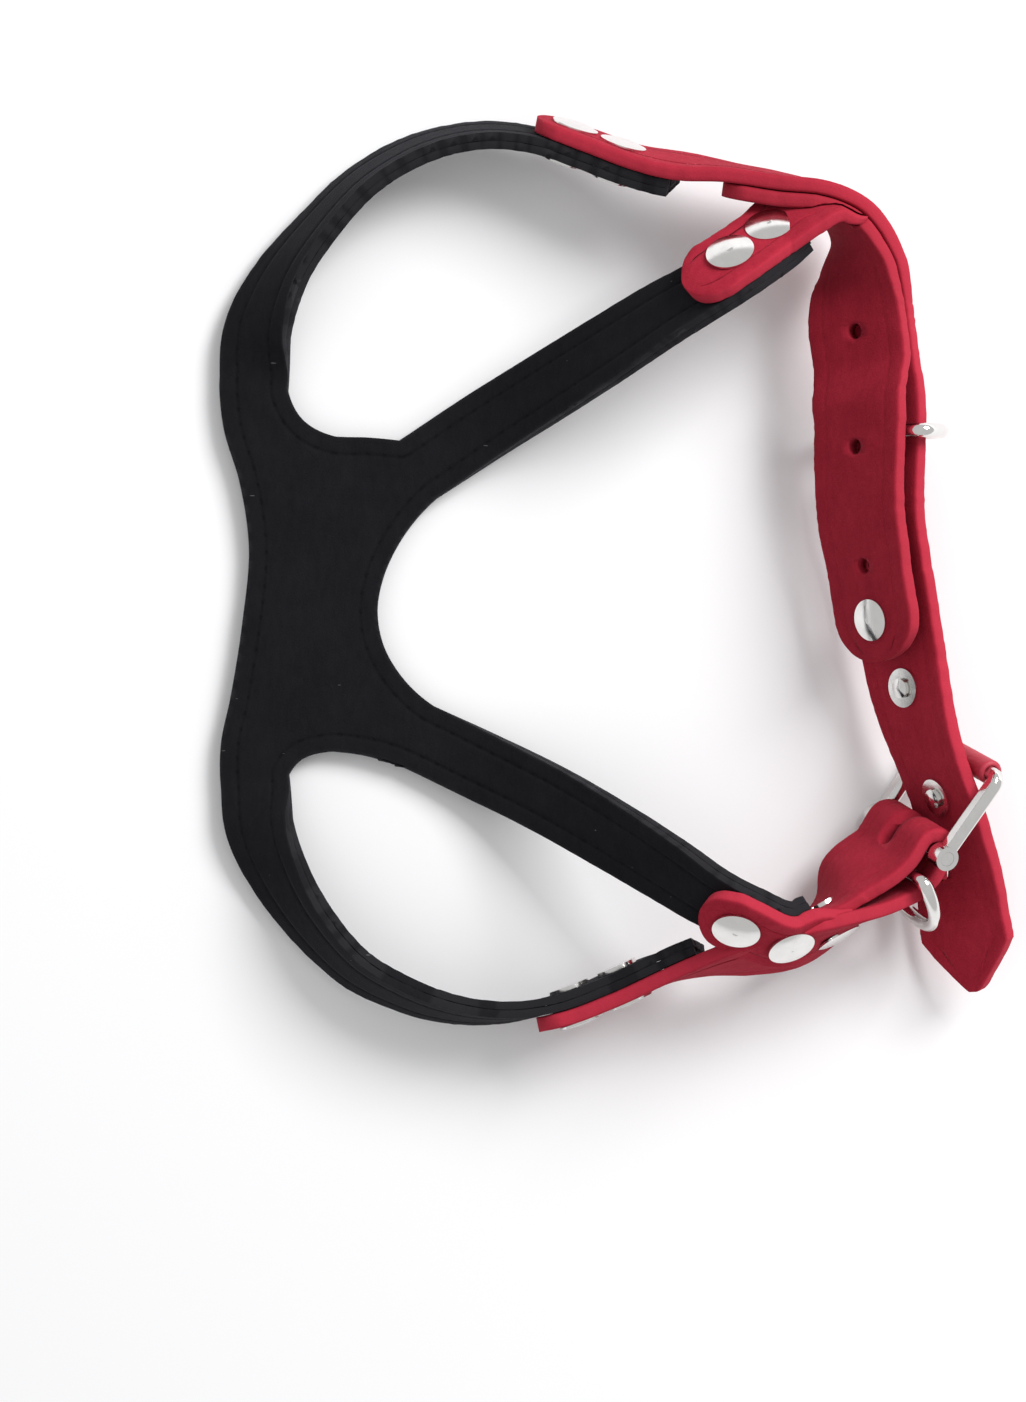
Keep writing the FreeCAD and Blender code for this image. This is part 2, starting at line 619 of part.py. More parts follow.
def tongue_slot():
    """Opening for the tongue in the long strap, which passes outside the heel bar."""
    return Part.makeBox(TONGUE_HOLE_FRONT + TONGUE_HOLE_BACK, TONGUE_HOLE_WIDTH,
                        TONGUE_LENGTH, V(-TONGUE_HOLE_BACK, -TONGUE_HOLE_WIDTH / 2, 0))


# ---------------------------------------------------------------- red straps
def inner_layer_offset(s):
    """The size strap lies on the outer strap, lifts over the ring's bar and stays lifted."""
    rise_from, rise_to = RING_STATION - 1.4, RING_STATION - 0.5
    if s <= rise_from:
        return TUCKED_OFFSET
    if s <= rise_to:
        t = (s - rise_from) / (rise_to - rise_from)
        return lerp(TUCKED_OFFSET, LIFTED_OFFSET, t * t * (3 - 2 * t))
    t = min(1.0, max(0.0, (s - RING_STATION - 0.3) / 2.0))
    return lerp(LIFTED_OFFSET, SNAPPED_OFFSET, t * t * (3 - 2 * t))


def neck_thickness(band):
    """Full thickness along an inner finger, thinning where it runs inside the neck."""
    def thick(s):
        return STRAP_THICK - 0.9 * max(0.0, s - (band.last - 1.5)) / 1.5
    return thick


def yoke(main, tip, s_end, inner, inner_tip, end=None):
    """The outer finger with the strap that it runs into, and the inner finger."""
    strap = ribbon(main, tip, s_end, STRAP_THICK, RED_OFFSET, start=round_end(5.0), end=end)
    finger = ribbon(inner, inner_tip, inner.last, neck_thickness(inner), RED_OFFSET,
                    start=round_end(5.0))
    return strap, finger


def finger_room(inner, inner_tip, gap=SEAT_GAP):
    """The inner finger with the gap that other layers keep from it."""
    return ribbon(inner, inner_tip, inner.last, STRAP_THICK + 2 * gap, RED_OFFSET,
                  FINGER_HALF + gap)


def largest(shape):
    return max(shape.Solids, key=lambda solid: solid.Volume)


def carved(shape, tools):
    """The largest solid that is left when the tools are taken out one by one."""
    for tool in tools:
        shape = shape.cut(tool)
    return largest(shape)


def rivet_places(band, s_first):
    """Two rivets of one finger, the pitch apart."""
    return [band.placement(s_first), band.placement(band.step_along(s_first, RIVET_PITCH))]


def build():
    """Every named piece of the harness."""
    parts = {}
    layer = (PANEL_LAYER + GLUE_GAP) / 2
    face, lining = panel_layer(layer), panel_layer(-layer)
    upper = yoke(UPPER, UPPER_FINGER_TIP, UPPER.last, UPPER_INNER, UPPER_INNER_FINGER_TIP,
                 end=pointed_end(9.0))
    lower = yoke(LOWER, LOWER_FINGER_TIP, LOWER.last, LOWER_INNER, LOWER_INNER_FINGER_TIP)
    upper = upper[0].fuse(upper[1])

    # rivets of the four fingers
    rivet = Rivet(RED_OUTER_FACE, -PANEL_HALF)
    fingers = {"upper_outer": (UPPER, UPPER_OUTER_RIVET), "upper_inner": (UPPER_INNER,
               UPPER_INNER_RIVET), "lower_inner": (LOWER_INNER, LOWER_INNER_RIVET),
               "lower_outer": (LOWER, LOWER_OUTER_RIVET)}
    pockets = []
    for name, (band, s_first) in fingers.items():
        places = rivet_places(band, s_first)
        parts[name + "_rivet_caps"] = Part.Compound([placed(rivet.cap(), p) for p in places])
        parts[name + "_rivet_posts"] = Part.Compound([placed(rivet.post(), p) for p in places])
        pockets += [placed(rivet.pocket(), p) for p in places]
    necks = [ribbon(band, arm_end + 0.7, arm_end + 3, STRAP_THICK + 2 * SEAT_GAP, RED_OFFSET)
             for band, arm_end in ((UPPER, UPPER_ARM_END), (LOWER, LOWER_ARM_END))]
    necks += [finger_room(UPPER_INNER, UPPER_INNER_FINGER_TIP, LAYER_GAP * 0.7),
              finger_room(LOWER_INNER, LOWER_INNER_FINGER_TIP, LAYER_GAP * 0.7)]
    parts["panel_face"] = carved(face, pockets + necks)
    parts["panel_lining"] = carved(lining, pockets + necks)

    # size strap and its snap flap
    ring_place = UPPER.placement(RING_STATION, 0, RING_OFFSET)
    flap_from = UPPER.step_along(RING_STATION, 3.4)
    flap_to = UPPER.step_along(SNAP_STATION, FLAP_BEYOND_SNAP)
    size = ribbon(UPPER, SIZE_STRAP_TIP, UPPER.step_along(flap_from, -SEAT_GAP), STRAP_THICK,
                  inner_layer_offset, start=round_end(7.0))
    flap = ribbon(UPPER, flap_from, flap_to, STRAP_THICK, inner_layer_offset,
                  end=round_end(8.0))
    first_hole = UPPER.step_along(SIZE_STRAP_TIP, 5.0)
    holes = [first_hole] + [UPPER.step_along(SIZE_HOLE, k * HOLE_PITCH) for k in range(3)]
    bores = [placed(disc(HOLE_R, -6, 8), UPPER.placement(s, 0, 0)) for s in holes]
    heads = [placed(disc(RIVET_HEAD_R + SEAT_GAP, RED_OUTER_FACE - 1, 3), p)
             for p in rivet_places(UPPER_INNER, UPPER_INNER_RIVET)]
    size = carved(size, [finger_room(UPPER_INNER, UPPER_INNER_FINGER_TIP)] + heads + bores[:-1])

    # snaps
    stud, cap = SnapStud(), SnapCap()
    first = UPPER.step_along(SNAP_STATION, SNAP_FIRST_PITCH)
    stud_stations = [SNAP_STATION, first, UPPER.step_along(first, SNAP_PITCH)]
    stud_places = [turned_inward(UPPER.placement(s, 0, RED_OFFSET)) for s in stud_stations]
    cap_place = turned_inward(UPPER.placement(SNAP_STATION, 0, inner_layer_offset(SNAP_STATION)))
    parts["snap_studs"] = Part.Compound([placed(stud.stud(), p) for p in stud_places])
    parts["snap_eyelets"] = Part.Compound([placed(stud.eyelet(), p) for p in stud_places])
    parts["snap_cap"] = placed(cap.cap(), cap_place)
    parts["snap_socket"] = placed(cap.socket(), cap_place)
    parts["size_strap"] = size
    parts["size_strap_flap"] = carved(flap, [placed(cap.pocket(), cap_place), bores[-1]])

    # buckle on its fold
    buckle_place = LOWER.placement(LOWER.last)
    for name, shape in (("buckle_frame", buckle_frame()), ("buckle_bar", buckle_bar()),
                        ("buckle_sleeve", buckle_sleeve()), ("buckle_tongue", buckle_tongue())):
        parts[name] = placed(shape, buckle_place)
    leaf = ribbon(LEAF, 0.0, LEAF.last, STRAP_THICK, 0.0, start=round_end(4.0))
    fold_rivet = Rivet(RED_OUTER_FACE, TUCKED_OFFSET - STRAP_THICK / 2)
    fold_place = LOWER.placement(FOLD_RIVET)
    parts["fold_rivet_cap"] = placed(fold_rivet.cap(), fold_place)
    parts["fold_rivet_post"] = placed(fold_rivet.post(), fold_place)
    outer_room = ribbon(LOWER, LOWER.last - 5, LOWER.last - 1.5, STRAP_THICK + 2 * LAYER_GAP,
                        RED_OFFSET, 2 * STRAP_HALF)
    leaf = carved(leaf, [outer_room, finger_room(LOWER_INNER, LOWER_INNER_FINGER_TIP)])
    lower = lower[0].fuse([lower[1], placed(fold_round_bar(), buckle_place), leaf])
    parts["lower_yoke_strap"] = carved(lower, [
        placed(fold_slot(), buckle_place), placed(fold_rivet.pocket(), fold_place)] + pockets)
    parts["upper_yoke_strap"] = carved(upper, [placed(tongue_slot(), buckle_place)] + pockets
                                       + [placed(stud.pocket(), p) for p in stud_places])

    # D-rings stand across their straps, the bow outside
    tilted = FreeCAD.Placement(V(0, 0, 0), V(0, 1, 0), LOWER_RING_TILT)
    lower_ring_place = LOWER.placement(LOWER.last - 1).multiply(tilted)
    parts["d_ring_upper"] = placed(d_ring(), ring_place)
    parts["d_ring_lower"] = placed(d_ring(), lower_ring_place)
    return parts


def to_origin(parts):
    """Moves everything so that the bounding box stands on its bottom centre."""
    points = [p for shape in parts.values() for p in shape.tessellate(0.05)[0]]
    spans = [(min(c), max(c)) for c in zip(*[(p.x, p.y, p.z) for p in points])]
    shift = V(-sum(spans[0]) / 2, -sum(spans[1]) / 2, -spans[2][0])
    for shape in parts.values():
        shape.translate(shift)
    return shift


def main():
    os.makedirs("parts", exist_ok=True)
    parts = build()
    shift = to_origin(parts)
    print("shift", shift)
    for name, shape in parts.items():
        print(name, shape.isValid(), len(shape.Solids), round(shape.Volume, 1))
        shape.exportStep("parts/" + name + ".step")


if __name__ == "__main__":
    main()
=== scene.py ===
"""Looks of a small suede strap harness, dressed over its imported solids.

A black two-layer panel with two loops, two red yokes, a doubled strap with snaps, two
D-rings and a heel-bar buckle.  Lengths in the tables are millimetres; meshes are metres.
"""
from __future__ import annotations

import logging
import math
from dataclasses import dataclass, field
from enum import Enum
from typing import Any, Sequence

import bmesh
import bpy
import numpy as np
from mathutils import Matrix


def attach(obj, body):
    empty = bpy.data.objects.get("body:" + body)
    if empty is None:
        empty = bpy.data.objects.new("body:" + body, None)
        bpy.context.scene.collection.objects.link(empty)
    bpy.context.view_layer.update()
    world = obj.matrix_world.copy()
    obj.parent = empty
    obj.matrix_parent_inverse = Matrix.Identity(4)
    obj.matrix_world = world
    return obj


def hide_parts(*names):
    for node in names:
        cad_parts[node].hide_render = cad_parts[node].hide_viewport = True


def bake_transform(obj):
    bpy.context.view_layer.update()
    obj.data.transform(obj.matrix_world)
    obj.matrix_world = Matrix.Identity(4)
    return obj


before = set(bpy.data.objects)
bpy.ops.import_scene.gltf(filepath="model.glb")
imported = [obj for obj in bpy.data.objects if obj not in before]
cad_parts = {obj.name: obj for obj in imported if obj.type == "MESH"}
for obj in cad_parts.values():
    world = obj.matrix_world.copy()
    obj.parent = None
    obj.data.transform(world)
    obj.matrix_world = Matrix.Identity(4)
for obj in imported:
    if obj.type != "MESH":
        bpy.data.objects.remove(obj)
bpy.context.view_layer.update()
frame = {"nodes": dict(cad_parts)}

Array = np.ndarray
Piece = bpy.types.Object
Material = bpy.types.Material
Colour = tuple[float, float, float, float]
LOG = logging.getLogger("harness")
MM = 0.001
ORIGIN_SHIFT = np.array([0.9185, 0.5097, 0.0440])
HEIGHT, LEAN, HALF = 2, 3, 4  # columns of a station
LINE_INSET = 3.0  # creased line, in from the leather's edge
TIP_SECTIONS = 22
LEAST_STEP = 0.004  # sections nearer than this are one


# ------ leather sizes
@dataclass(frozen=True)
class LeatherSizes:
    """Thicknesses, widths and layer places shared by every strap."""

    panel_layer: float = 1.4
    glue_gap: float = 0.1
    arm_half: float = 6.0
    strap_thick: float = 2.6
    strap_half: float = 9.25
    finger_half: float = 6.5
    layer_gap: float = 0.15
    seat_gap: float = 0.3
    ring_rod_r: float = 1.25
    snap_room: float = 2.4

    @property
    def panel_half(self) -> float:
        """Half the panel's whole thickness."""
        return self.panel_layer + self.glue_gap / 2

    @property
    def red_offset(self) -> float:
        """Middle of the outer red layer, from the reference surface."""
        return self.panel_half + self.layer_gap + self.strap_thick / 2

    @property
    def red_inner_face(self) -> float:
        """Inner face of the outer red layer."""
        return self.red_offset - self.strap_thick / 2

    @property
    def tucked(self) -> float:
        """Middle of an inner layer that lies on the outer one."""
        return self.red_inner_face - self.layer_gap - self.strap_thick / 2

    @property
    def lifted(self) -> float:
        """Middle of the inner layer where it passes over a ring's bar."""
        bar = self.red_inner_face - self.seat_gap - self.ring_rod_r
        return bar - self.ring_rod_r - self.seat_gap - self.strap_thick / 2

    @property
    def snapped(self) -> float:
        """Middle of the inner layer over a closed snap."""
        return self.red_inner_face - self.snap_room - self.strap_thick / 2


SIZES = LeatherSizes()


# ------ where the straps run
def run_along(points: Array) -> Array:
    """Distance along a row of points, from the first."""
    step = np.linalg.norm(np.diff(points, axis=0), axis=1)
    return np.concatenate([[0.0], np.cumsum(step)])


def hermite(t: Array, ends: tuple[Array, ...], slopes: tuple[Array, ...],
            span: Any = 1.0) -> Array:
    """Cubic between two ends with a slope at each, at t from 0 to 1 over a span."""
    return ((2 * t**3 - 3 * t**2 + 1) * ends[0] + (t**3 - 2 * t**2 + t) * slopes[0] * span
            + (3 * t**2 - 2 * t**3) * ends[1] + (t**3 - t**2) * slopes[1] * span)


def per_station(value: Any, s: Array) -> Array:
    """A number, or a function of s, as one value for every s."""
    return value(s) if callable(value) else np.full(len(s), value)


@dataclass(frozen=True)
class Places:
    """Centre, travel, width and normal directions of a row of strap sections, in mm."""

    centre: Array
    width: Array
    normal: Array
    half: Array
    thick: Array

    def joined(self, *others: "Places") -> "Places":
        """This row followed by others.

        Args:
            others: rows that carry on from this one's end.

        Returns:
            One row with all sections.
        """
        rows = (self,) + others
        return Places(*[np.concatenate([getattr(r, name) for r in rows])
                        for name in ("centre", "width", "normal", "half", "thick")])


@dataclass(frozen=True)
class Band:
    """Reference surface of a strap, smooth through stations (x, y, z, lean, half width).

    Lean 0 is flat, 90 on edge, more leans outward.  Side +1 has the raised edge at the
    right of travel, -1 at the left.  Between stations each column is a cubic Hermite curve
    whose slopes are central differences; height and lean start level.
    """

    stations: tuple[tuple[float, ...], ...]
    side: int

    @property
    def last(self) -> int:
        """Number of the last station."""
        return len(self.stations) - 1

    def _terms(self, s: Array, column: int) -> tuple[Array, ...]:
        """Span parameter, end values and end slopes for every s."""
        values = np.array([row[column] for row in self.stations])
        i = np.clip(np.floor(s).astype(int), 0, self.last - 1)
        p0, p1, p2, p3 = (values[np.clip(i + k, 0, self.last)] for k in (-1, 0, 1, 2))
        m1 = (p2 - p0) / np.where(i == 0, 1.0, 2.0)
        m2 = (p3 - p1) / np.where(i == self.last - 1, 1.0, 2.0)
        if column in (HEIGHT, LEAN):
            m1 = np.where(i == 0, 0.0, m1)
        return s - i, p1, p2, m1, m2

    def value(self, s: Array, column: int) -> Array:
        """Hermite value of one column at every s."""
        t, p1, p2, m1, m2 = self._terms(s, column)
        return hermite(t, (p1, p2), (m1, m2))

    def slope(self, s: Array, column: int) -> Array:
        """Its derivative at every s."""
        t, p1, p2, m1, m2 = self._terms(s, column)
        return 6 * (t**2 - t) * (p1 - p2) + (3 * t**2 - 4 * t + 1) * m1 + (3 * t**2 - 2 * t) * m2

    def frames(self, s: Array) -> tuple[Array, ...]:
        """Centre, travel, width and outward normal at every s."""
        s = np.atleast_1d(np.asarray(s, float))
        centre = np.stack([self.value(s, k) for k in range(3)], axis=1)
        along = np.stack([self.slope(s, k) for k in range(3)], axis=1)
        along /= np.linalg.norm(along, axis=1, keepdims=True)
        level = along[:, :2] / np.linalg.norm(along[:, :2], axis=1, keepdims=True)
        zero = np.zeros(len(s))
        inward = np.stack([level[:, 1], -level[:, 0], zero], axis=1) * self.side
        up = np.stack([-along[:, 2] * level[:, 0], -along[:, 2] * level[:, 1],
                       np.hypot(along[:, 0], along[:, 1])], axis=1)
        lean = np.radians(self.value(s, LEAN))[:, None]
        width = inward * np.cos(lean) + up * np.sin(lean)
        normal = up * np.cos(lean) - inward * np.sin(lean)
        return centre, along, width, normal

    def point(self, s: float, across: float = 0.0, out: float = 0.0) -> Array:
        """One point on the band, in mm before the shift to the origin."""
        centre, _, width, normal = self.frames(np.array([s]))
        return (centre + width * across + normal * out)[0]

    def at_distances(self, s_from: float, distances: Array) -> Array:
        """Station values that lie the given distances on from s_from.

        Args:
            s_from: where the distances are counted from.
            distances: millimetres, forwards if positive.

        Returns:
            Station values, one per distance.
        """
        fine = np.linspace(0, self.last, 200 * self.last + 1)
        run = run_along(self.frames(fine)[0])
        start = np.interp(s_from, fine, run)
        return np.interp(start + distances, run, fine)

    def length(self, s_from: float, s_to: float) -> float:
        """Millimetres between two station values."""
        centre = self.frames(np.linspace(s_from, s_to, 600))[0]
        return float(np.linalg.norm(np.diff(centre, axis=0), axis=1).sum())


def station(point: Array, lean: float, half: float) -> tuple[float, ...]:
    """A station at a point of another band."""
    return (float(point[0]), float(point[1]), float(point[2]), lean, half)


A, F, S = SIZES.arm_half, SIZES.finger_half, SIZES.strap_half
UPPER = Band((
    (-63.6, 32.2, SIZES.panel_half, 0, A), (-62.7, 42.1, 3.9, 24, A), (-58.8, 51.0, 5.5, 45, A),
    (-53.1, 58.6, 6.6, 57, A), (-45.8, 66.4, 7.2, 63, A), (-38.5, 71.3, 7.6, 66, A),
    (-30.5, 74.4, 7.9, 69, A), (-22.0, 75.5, 8.2, 71, A), (-13.8, 74.4, 8.8, 72, A),
    (-6.0, 71.6, 9.7, 72, F), (2.0, 68.6, 10.8, 71, F), (10.5, 66.6, 12.4, 68, F),
    (18.8, 65.2, 14.0, 76, 6.9), (26.6, 63.7, 15.0, 78, 7.8), (33.9, 61.9, 15.8, 84, 9.0),
    (39.0, 57.8, 16.1, 98, S), (40.6, 51.2, 16.1, 122, S), (40.6, 43.8, 16.0, 142, S),
    (41.7, 35.5, 15.8, 143, S), (43.0, 26.5, 15.5, 137, S), (43.0, 17.5, 15.0, 135, S),
    (43.2, 8.5, 14.4, 132, S), (44.6, 0.0, 13.8, 129, S), (46.0, -8.8, 13.3, 129, S),
    (47.5, -17.5, 13.1, 128, S), (49.2, -26.0, 13.7, 123, S), (51.5, -34.2, 14.4, 117, S),
    (54.6, -43.0, 14.2, 118, S), (56.7, -52.4, 12.4, 129, S), (58.4, -62.4, 11.0, 136, S),
    (60.7, -73.6, 10.0, 138, S)), +1)

BUCKLE_CENTRE = np.array([55.1, -39.2, 13.2])
BUCKLE_TURN = math.radians(55.2)
BUCKLE_ALONG = np.array([math.cos(BUCKLE_TURN), math.sin(BUCKLE_TURN), 0.0])
BUCKLE_LEAN = 116.6
CENTRE_TO_BAR, BAR_TO_RING = 8.4, 5.4
BAR_POINT = BUCKLE_CENTRE - BUCKLE_ALONG * CENTRE_TO_BAR
RING_POINT = BAR_POINT - BUCKLE_ALONG * BAR_TO_RING

LOWER = Band((
    (-63.4, -36.5, SIZES.panel_half, 0, A), (-62.3, -45.2, 3.9, 22, A),
    (-58.6, -53.6, 5.4, 40, A), (-53.2, -61.6, 6.6, 53, A), (-46.0, -69.0, 7.3, 61, A),
    (-37.6, -73.6, 7.7, 67, A), (-28.8, -76.3, 7.9, 73, A), (-19.8, -76.9, 8.2, 80, A),
    (-10.8, -75.2, 9.0, 86, F), (-2.2, -71.8, 10.0, 88, F), (6.0, -68.2, 11.4, 86, F),
    (14.0, -65.6, 13.0, 77, F), (21.8, -64.0, 14.4, 69, 8.4), (29.4, -62.2, 15.2, 68, S),
    (36.0, -59.4, 14.8, 78, S), (42.0, -55.3, 14.0, 98, S),
    station(RING_POINT, BUCKLE_LEAN, S), station(BAR_POINT, BUCKLE_LEAN, S)), -1)

UPPER_INNER = Band((
    (-34.8, 17.8, SIZES.panel_half, 0, A), (-23.6, 25.0, 3.2, 8, A), (-13.0, 31.2, 8.2, 15, A),
    (-2.4, 37.2, 15.6, 24, A), (7.0, 42.6, 22.0, 33, A), (14.1, 46.4, 25.4, 40, A),
    (20.2, 50.2, 24.8, 43, A), (25.6, 54.2, 21.4, 44, 6.6), (30.6, 57.8, 19.7, 54, 8.2),
    (35.2, 59.0, 18.4, 72, 9.0), (38.4, 57.0, 17.4, 92, 9.0)), +1)
LOWER_INNER = Band((
    (-34.6, -29.1, SIZES.panel_half, 0, A), (-23.9, -34.1, 3.2, 8, A),
    (-12.6, -39.5, 8.2, 15, A), (-1.2, -45.8, 15.0, 24, A), (8.2, -51.4, 20.8, 34, A),
    (15.2, -55.8, 24.2, 43, A), (21.4, -58.8, 23.8, 48, A), (27.4, -61.2, 20.6, 49, A),
    station(LOWER.point(13.6, 2.6), 62, F), station(LOWER.point(14.3, 1.6), 76, F)), -1)

# The folded-back layer, from its free end to the heel bar.
LEAF_TIP, LEAF_NEXT, LEAF_ASIDE, LEAF_OPENS = 12.7, 14.0, -1.0, 1.2
LEAF = Band((
    station(LOWER.point(LEAF_TIP, LEAF_ASIDE, SIZES.tucked), 70, 8.0),
    station(LOWER.point(LEAF_NEXT, LEAF_ASIDE, SIZES.tucked - LEAF_OPENS), 92, 9.0),
    (39.4, -53.2, 14.0, 113, S),
    station(LOWER.point(LOWER.last - 1.0, 0.0, -SIZES.red_offset), BUCKLE_LEAN, S),
    station(LOWER.point(float(LOWER.last), 0.0, -SIZES.red_offset), BUCKLE_LEAN, S)), -1)
BAR_WIDTH, BAR_NORMAL = (row[0] for row in LOWER.frames(np.array([LOWER.last]))[2:])


class Tip(Enum):
    """How a strap's end is cut: (length over which it narrows, least share of the width)."""

    SQUARE = (0.0, 1.0)
    ROUND = (5.0, 0.06)
    LONG_ROUND = (8.0, 0.06)
    POINT = (9.0, 0.1)

    def share(self, distance: Array) -> Array:
        """Share of the half width at distances from the tip.

        A round end follows a quarter ellipse, a point the nearly straight x^0.85.
        """
        length, least = self.value
        if self is Tip.SQUARE:
            return np.ones_like(distance)
        x = np.clip(distance / length, 0.0, 1.0)
        if self is Tip.POINT:
            return least + (1 - least) * x**0.85
        return np.maximum(least, np.sqrt(np.clip(1 - (1 - x) ** 2, 0, 1)))


def wander(run: Array, pitch: float, size: float, seed: int) -> Array:
    """Smooth seeded noise along a run: random knots a pitch apart, cosine-blended.

    Args:
        run: distances in mm.
        pitch: distance between knots.
        size: largest value either way.
        seed: what makes this line differ from others.

    Returns:
        One value per distance.
    """
    x = run / pitch
    knots = np.random.default_rng(seed).uniform(-size, size, int(x.max()) + 3)
    i = np.floor(x).astype(int)
    t = (1 - np.cos((x - i) * math.pi)) / 2
    return knots[i] * (1 - t) + knots[i + 1] * t


def strap_places(band: Band, s_from: float, s_to: float, out: Any, thick: Any, half: Any = None,
                 start: Tip = Tip.SQUARE, end: Tip = Tip.SQUARE, step: float = 0.8) -> Places:
    """Sections of a strap that follows a band.

    Args:
        band: what the strap follows.
        s_from: first station value.
        s_to: last station value.
        out: offset along the normal, a number or a function of s.
        thick: thickness, a number or a function of s.
        half: half width, a number or a function of s, or None for the band's own.
        start: how the first end is cut.
        end: how the last end is cut.
        step: distance between sections.

    Returns:
        The sections, closer together where an end is shaped.
    """
    total = band.length(s_from, s_to)

    def near(tip: Tip) -> Array:
        """Distances from a shaped end, densest at its tip."""
        return tip.value[0] * (1 - np.cos(np.linspace(0, math.pi / 2, TIP_SECTIONS)))

    middle = np.arange(start.value[0], total - end.value[0], step)
    distances = np.unique(np.round(np.concatenate(
        [near(start), middle, total - near(end), [0.0, total]]), 4))
    distances = distances[(distances >= 0) & (distances <= total)]
    distances = distances[np.concatenate([[True], np.diff(distances) > LEAST_STEP])]
    s = band.at_distances(s_from, distances)
    centre, _, width, normal = band.frames(s)
    halves = band.value(s, HALF) if half is None else per_station(half, s)
    halves = halves * start.share(distances) * end.share(total - distances)
    return Places(centre + normal * per_station(out, s)[:, None], width, normal, halves,
                  per_station(thick, s))


# ------ meshes
def add_object(name: str, data: Any) -> Piece:
    """A new object in the scene, at the origin."""
    thing = bpy.data.objects.new(name, data)
    bpy.context.scene.collection.objects.link(thing)
    return thing


def smooth(mesh: bpy.types.Mesh) -> None:
    """Shades every face smooth."""
    mesh.polygons.foreach_set("use_smooth", np.ones(len(mesh.polygons), bool))


def add_mesh(name: str, verts: Array, quads: Array,
             extra: Sequence[Sequence[int]] = ()) -> Piece:
    """Mesh object from millimetre points, moved to the origin's frame.

    Args:
        name: the piece's name.
        verts: points, one per row.
        quads: four indices per row.
        extra: further faces of any size.

    Returns:
        The object, smooth shaded.
    """
    mesh = bpy.data.meshes.new(name)
    points = (verts + ORIGIN_SHIFT) * MM
    mesh.from_pydata(points.tolist(), [], quads.tolist() + [list(f) for f in extra])
    mesh.update()
    smooth(mesh)
    return add_object(name, mesh)


def set_attributes(piece: Piece, **values: Any) -> None:
    """Stores numbers on the vertices under their names: one per vertex, or one for all."""
    count = len(piece.data.vertices)
    for name, numbers in values.items():
        layer = piece.data.attributes.new(name, "FLOAT", "POINT")
        layer.data.foreach_set("value", np.broadcast_to(numbers, count).astype(np.float32))


def vertex_vectors(mesh: bpy.types.Mesh, name: str) -> Array:
    """The "co" or "normal" of every vertex."""
    flat = np.empty(len(mesh.vertices) * 3, np.float32)
    mesh.vertices.foreach_get(name, flat)
    return flat.reshape(-1, 3)


def grid_quads(rows: int, columns: int, closed: bool, first: int = 0) -> Array:
    """Quads of a rows x columns grid, its columns closed into a loop or open."""
    i = np.arange(rows - 1)[:, None]
    j = np.arange(columns if closed else columns - 1)[None, :]
    j2 = (j + 1) % columns
    corners = [i * columns + j, i * columns + j2, (i + 1) * columns + j2, (i + 1) * columns + j]
    return np.stack([c.ravel() for c in corners], axis=1) + first


def face_outwards(piece: Piece, merge: float = 0.0) -> None:
    """Merges doubles if asked, and turns every face outwards."""
    work = bmesh.new()
    work.from_mesh(piece.data)
    if merge > 0:
        bmesh.ops.remove_doubles(work, verts=work.verts, dist=merge)
    bmesh.ops.recalc_face_normals(work, faces=work.faces)
    work.to_mesh(piece.data)
    work.free()
    piece.data.update()


@dataclass(frozen=True)
class StrapSection:
    """Cut leather in section: flat faces, a creased line inside each edge, soft corners.

    Each row is (distance in from the edge in mm, height as a share of half the thickness,
    sink of the face in mm).  Where the half width is under full_half, rows beyond the
    border shrink with it; the others shrink only where it is far smaller.
    """

    full_half: float = 9.2
    border: float = 3.6
    rows: tuple[tuple[float, float, float], ...] = (
        (9.0, 1.0, 0.0), (6.4, 1.0, 0.0), (4.6, 1.0, 0.0), (3.7, 1.0, 0.01), (3.3, 1.0, 0.03),
        (3.0, 1.0, 0.06), (2.7, 1.0, 0.03), (2.3, 1.0, 0.0), (1.3, 1.0, 0.0),
        (0.6, 0.98, 0.0), (0.22, 0.90, 0.0), (0.04, 0.68, 0.0), (0.0, 0.25, 0.0))

    def loop(self) -> tuple[Array, ...]:
        """Side sign, inset, height share and sink round the whole section, in order."""
        rows = np.array(self.rows)
        low = rows[::-1] * np.array([1.0, -1.0, 1.0])
        half = np.concatenate([rows, low])
        both = np.concatenate([half, half[::-1]])
        return np.repeat([1.0, -1.0], len(half)), *both.T


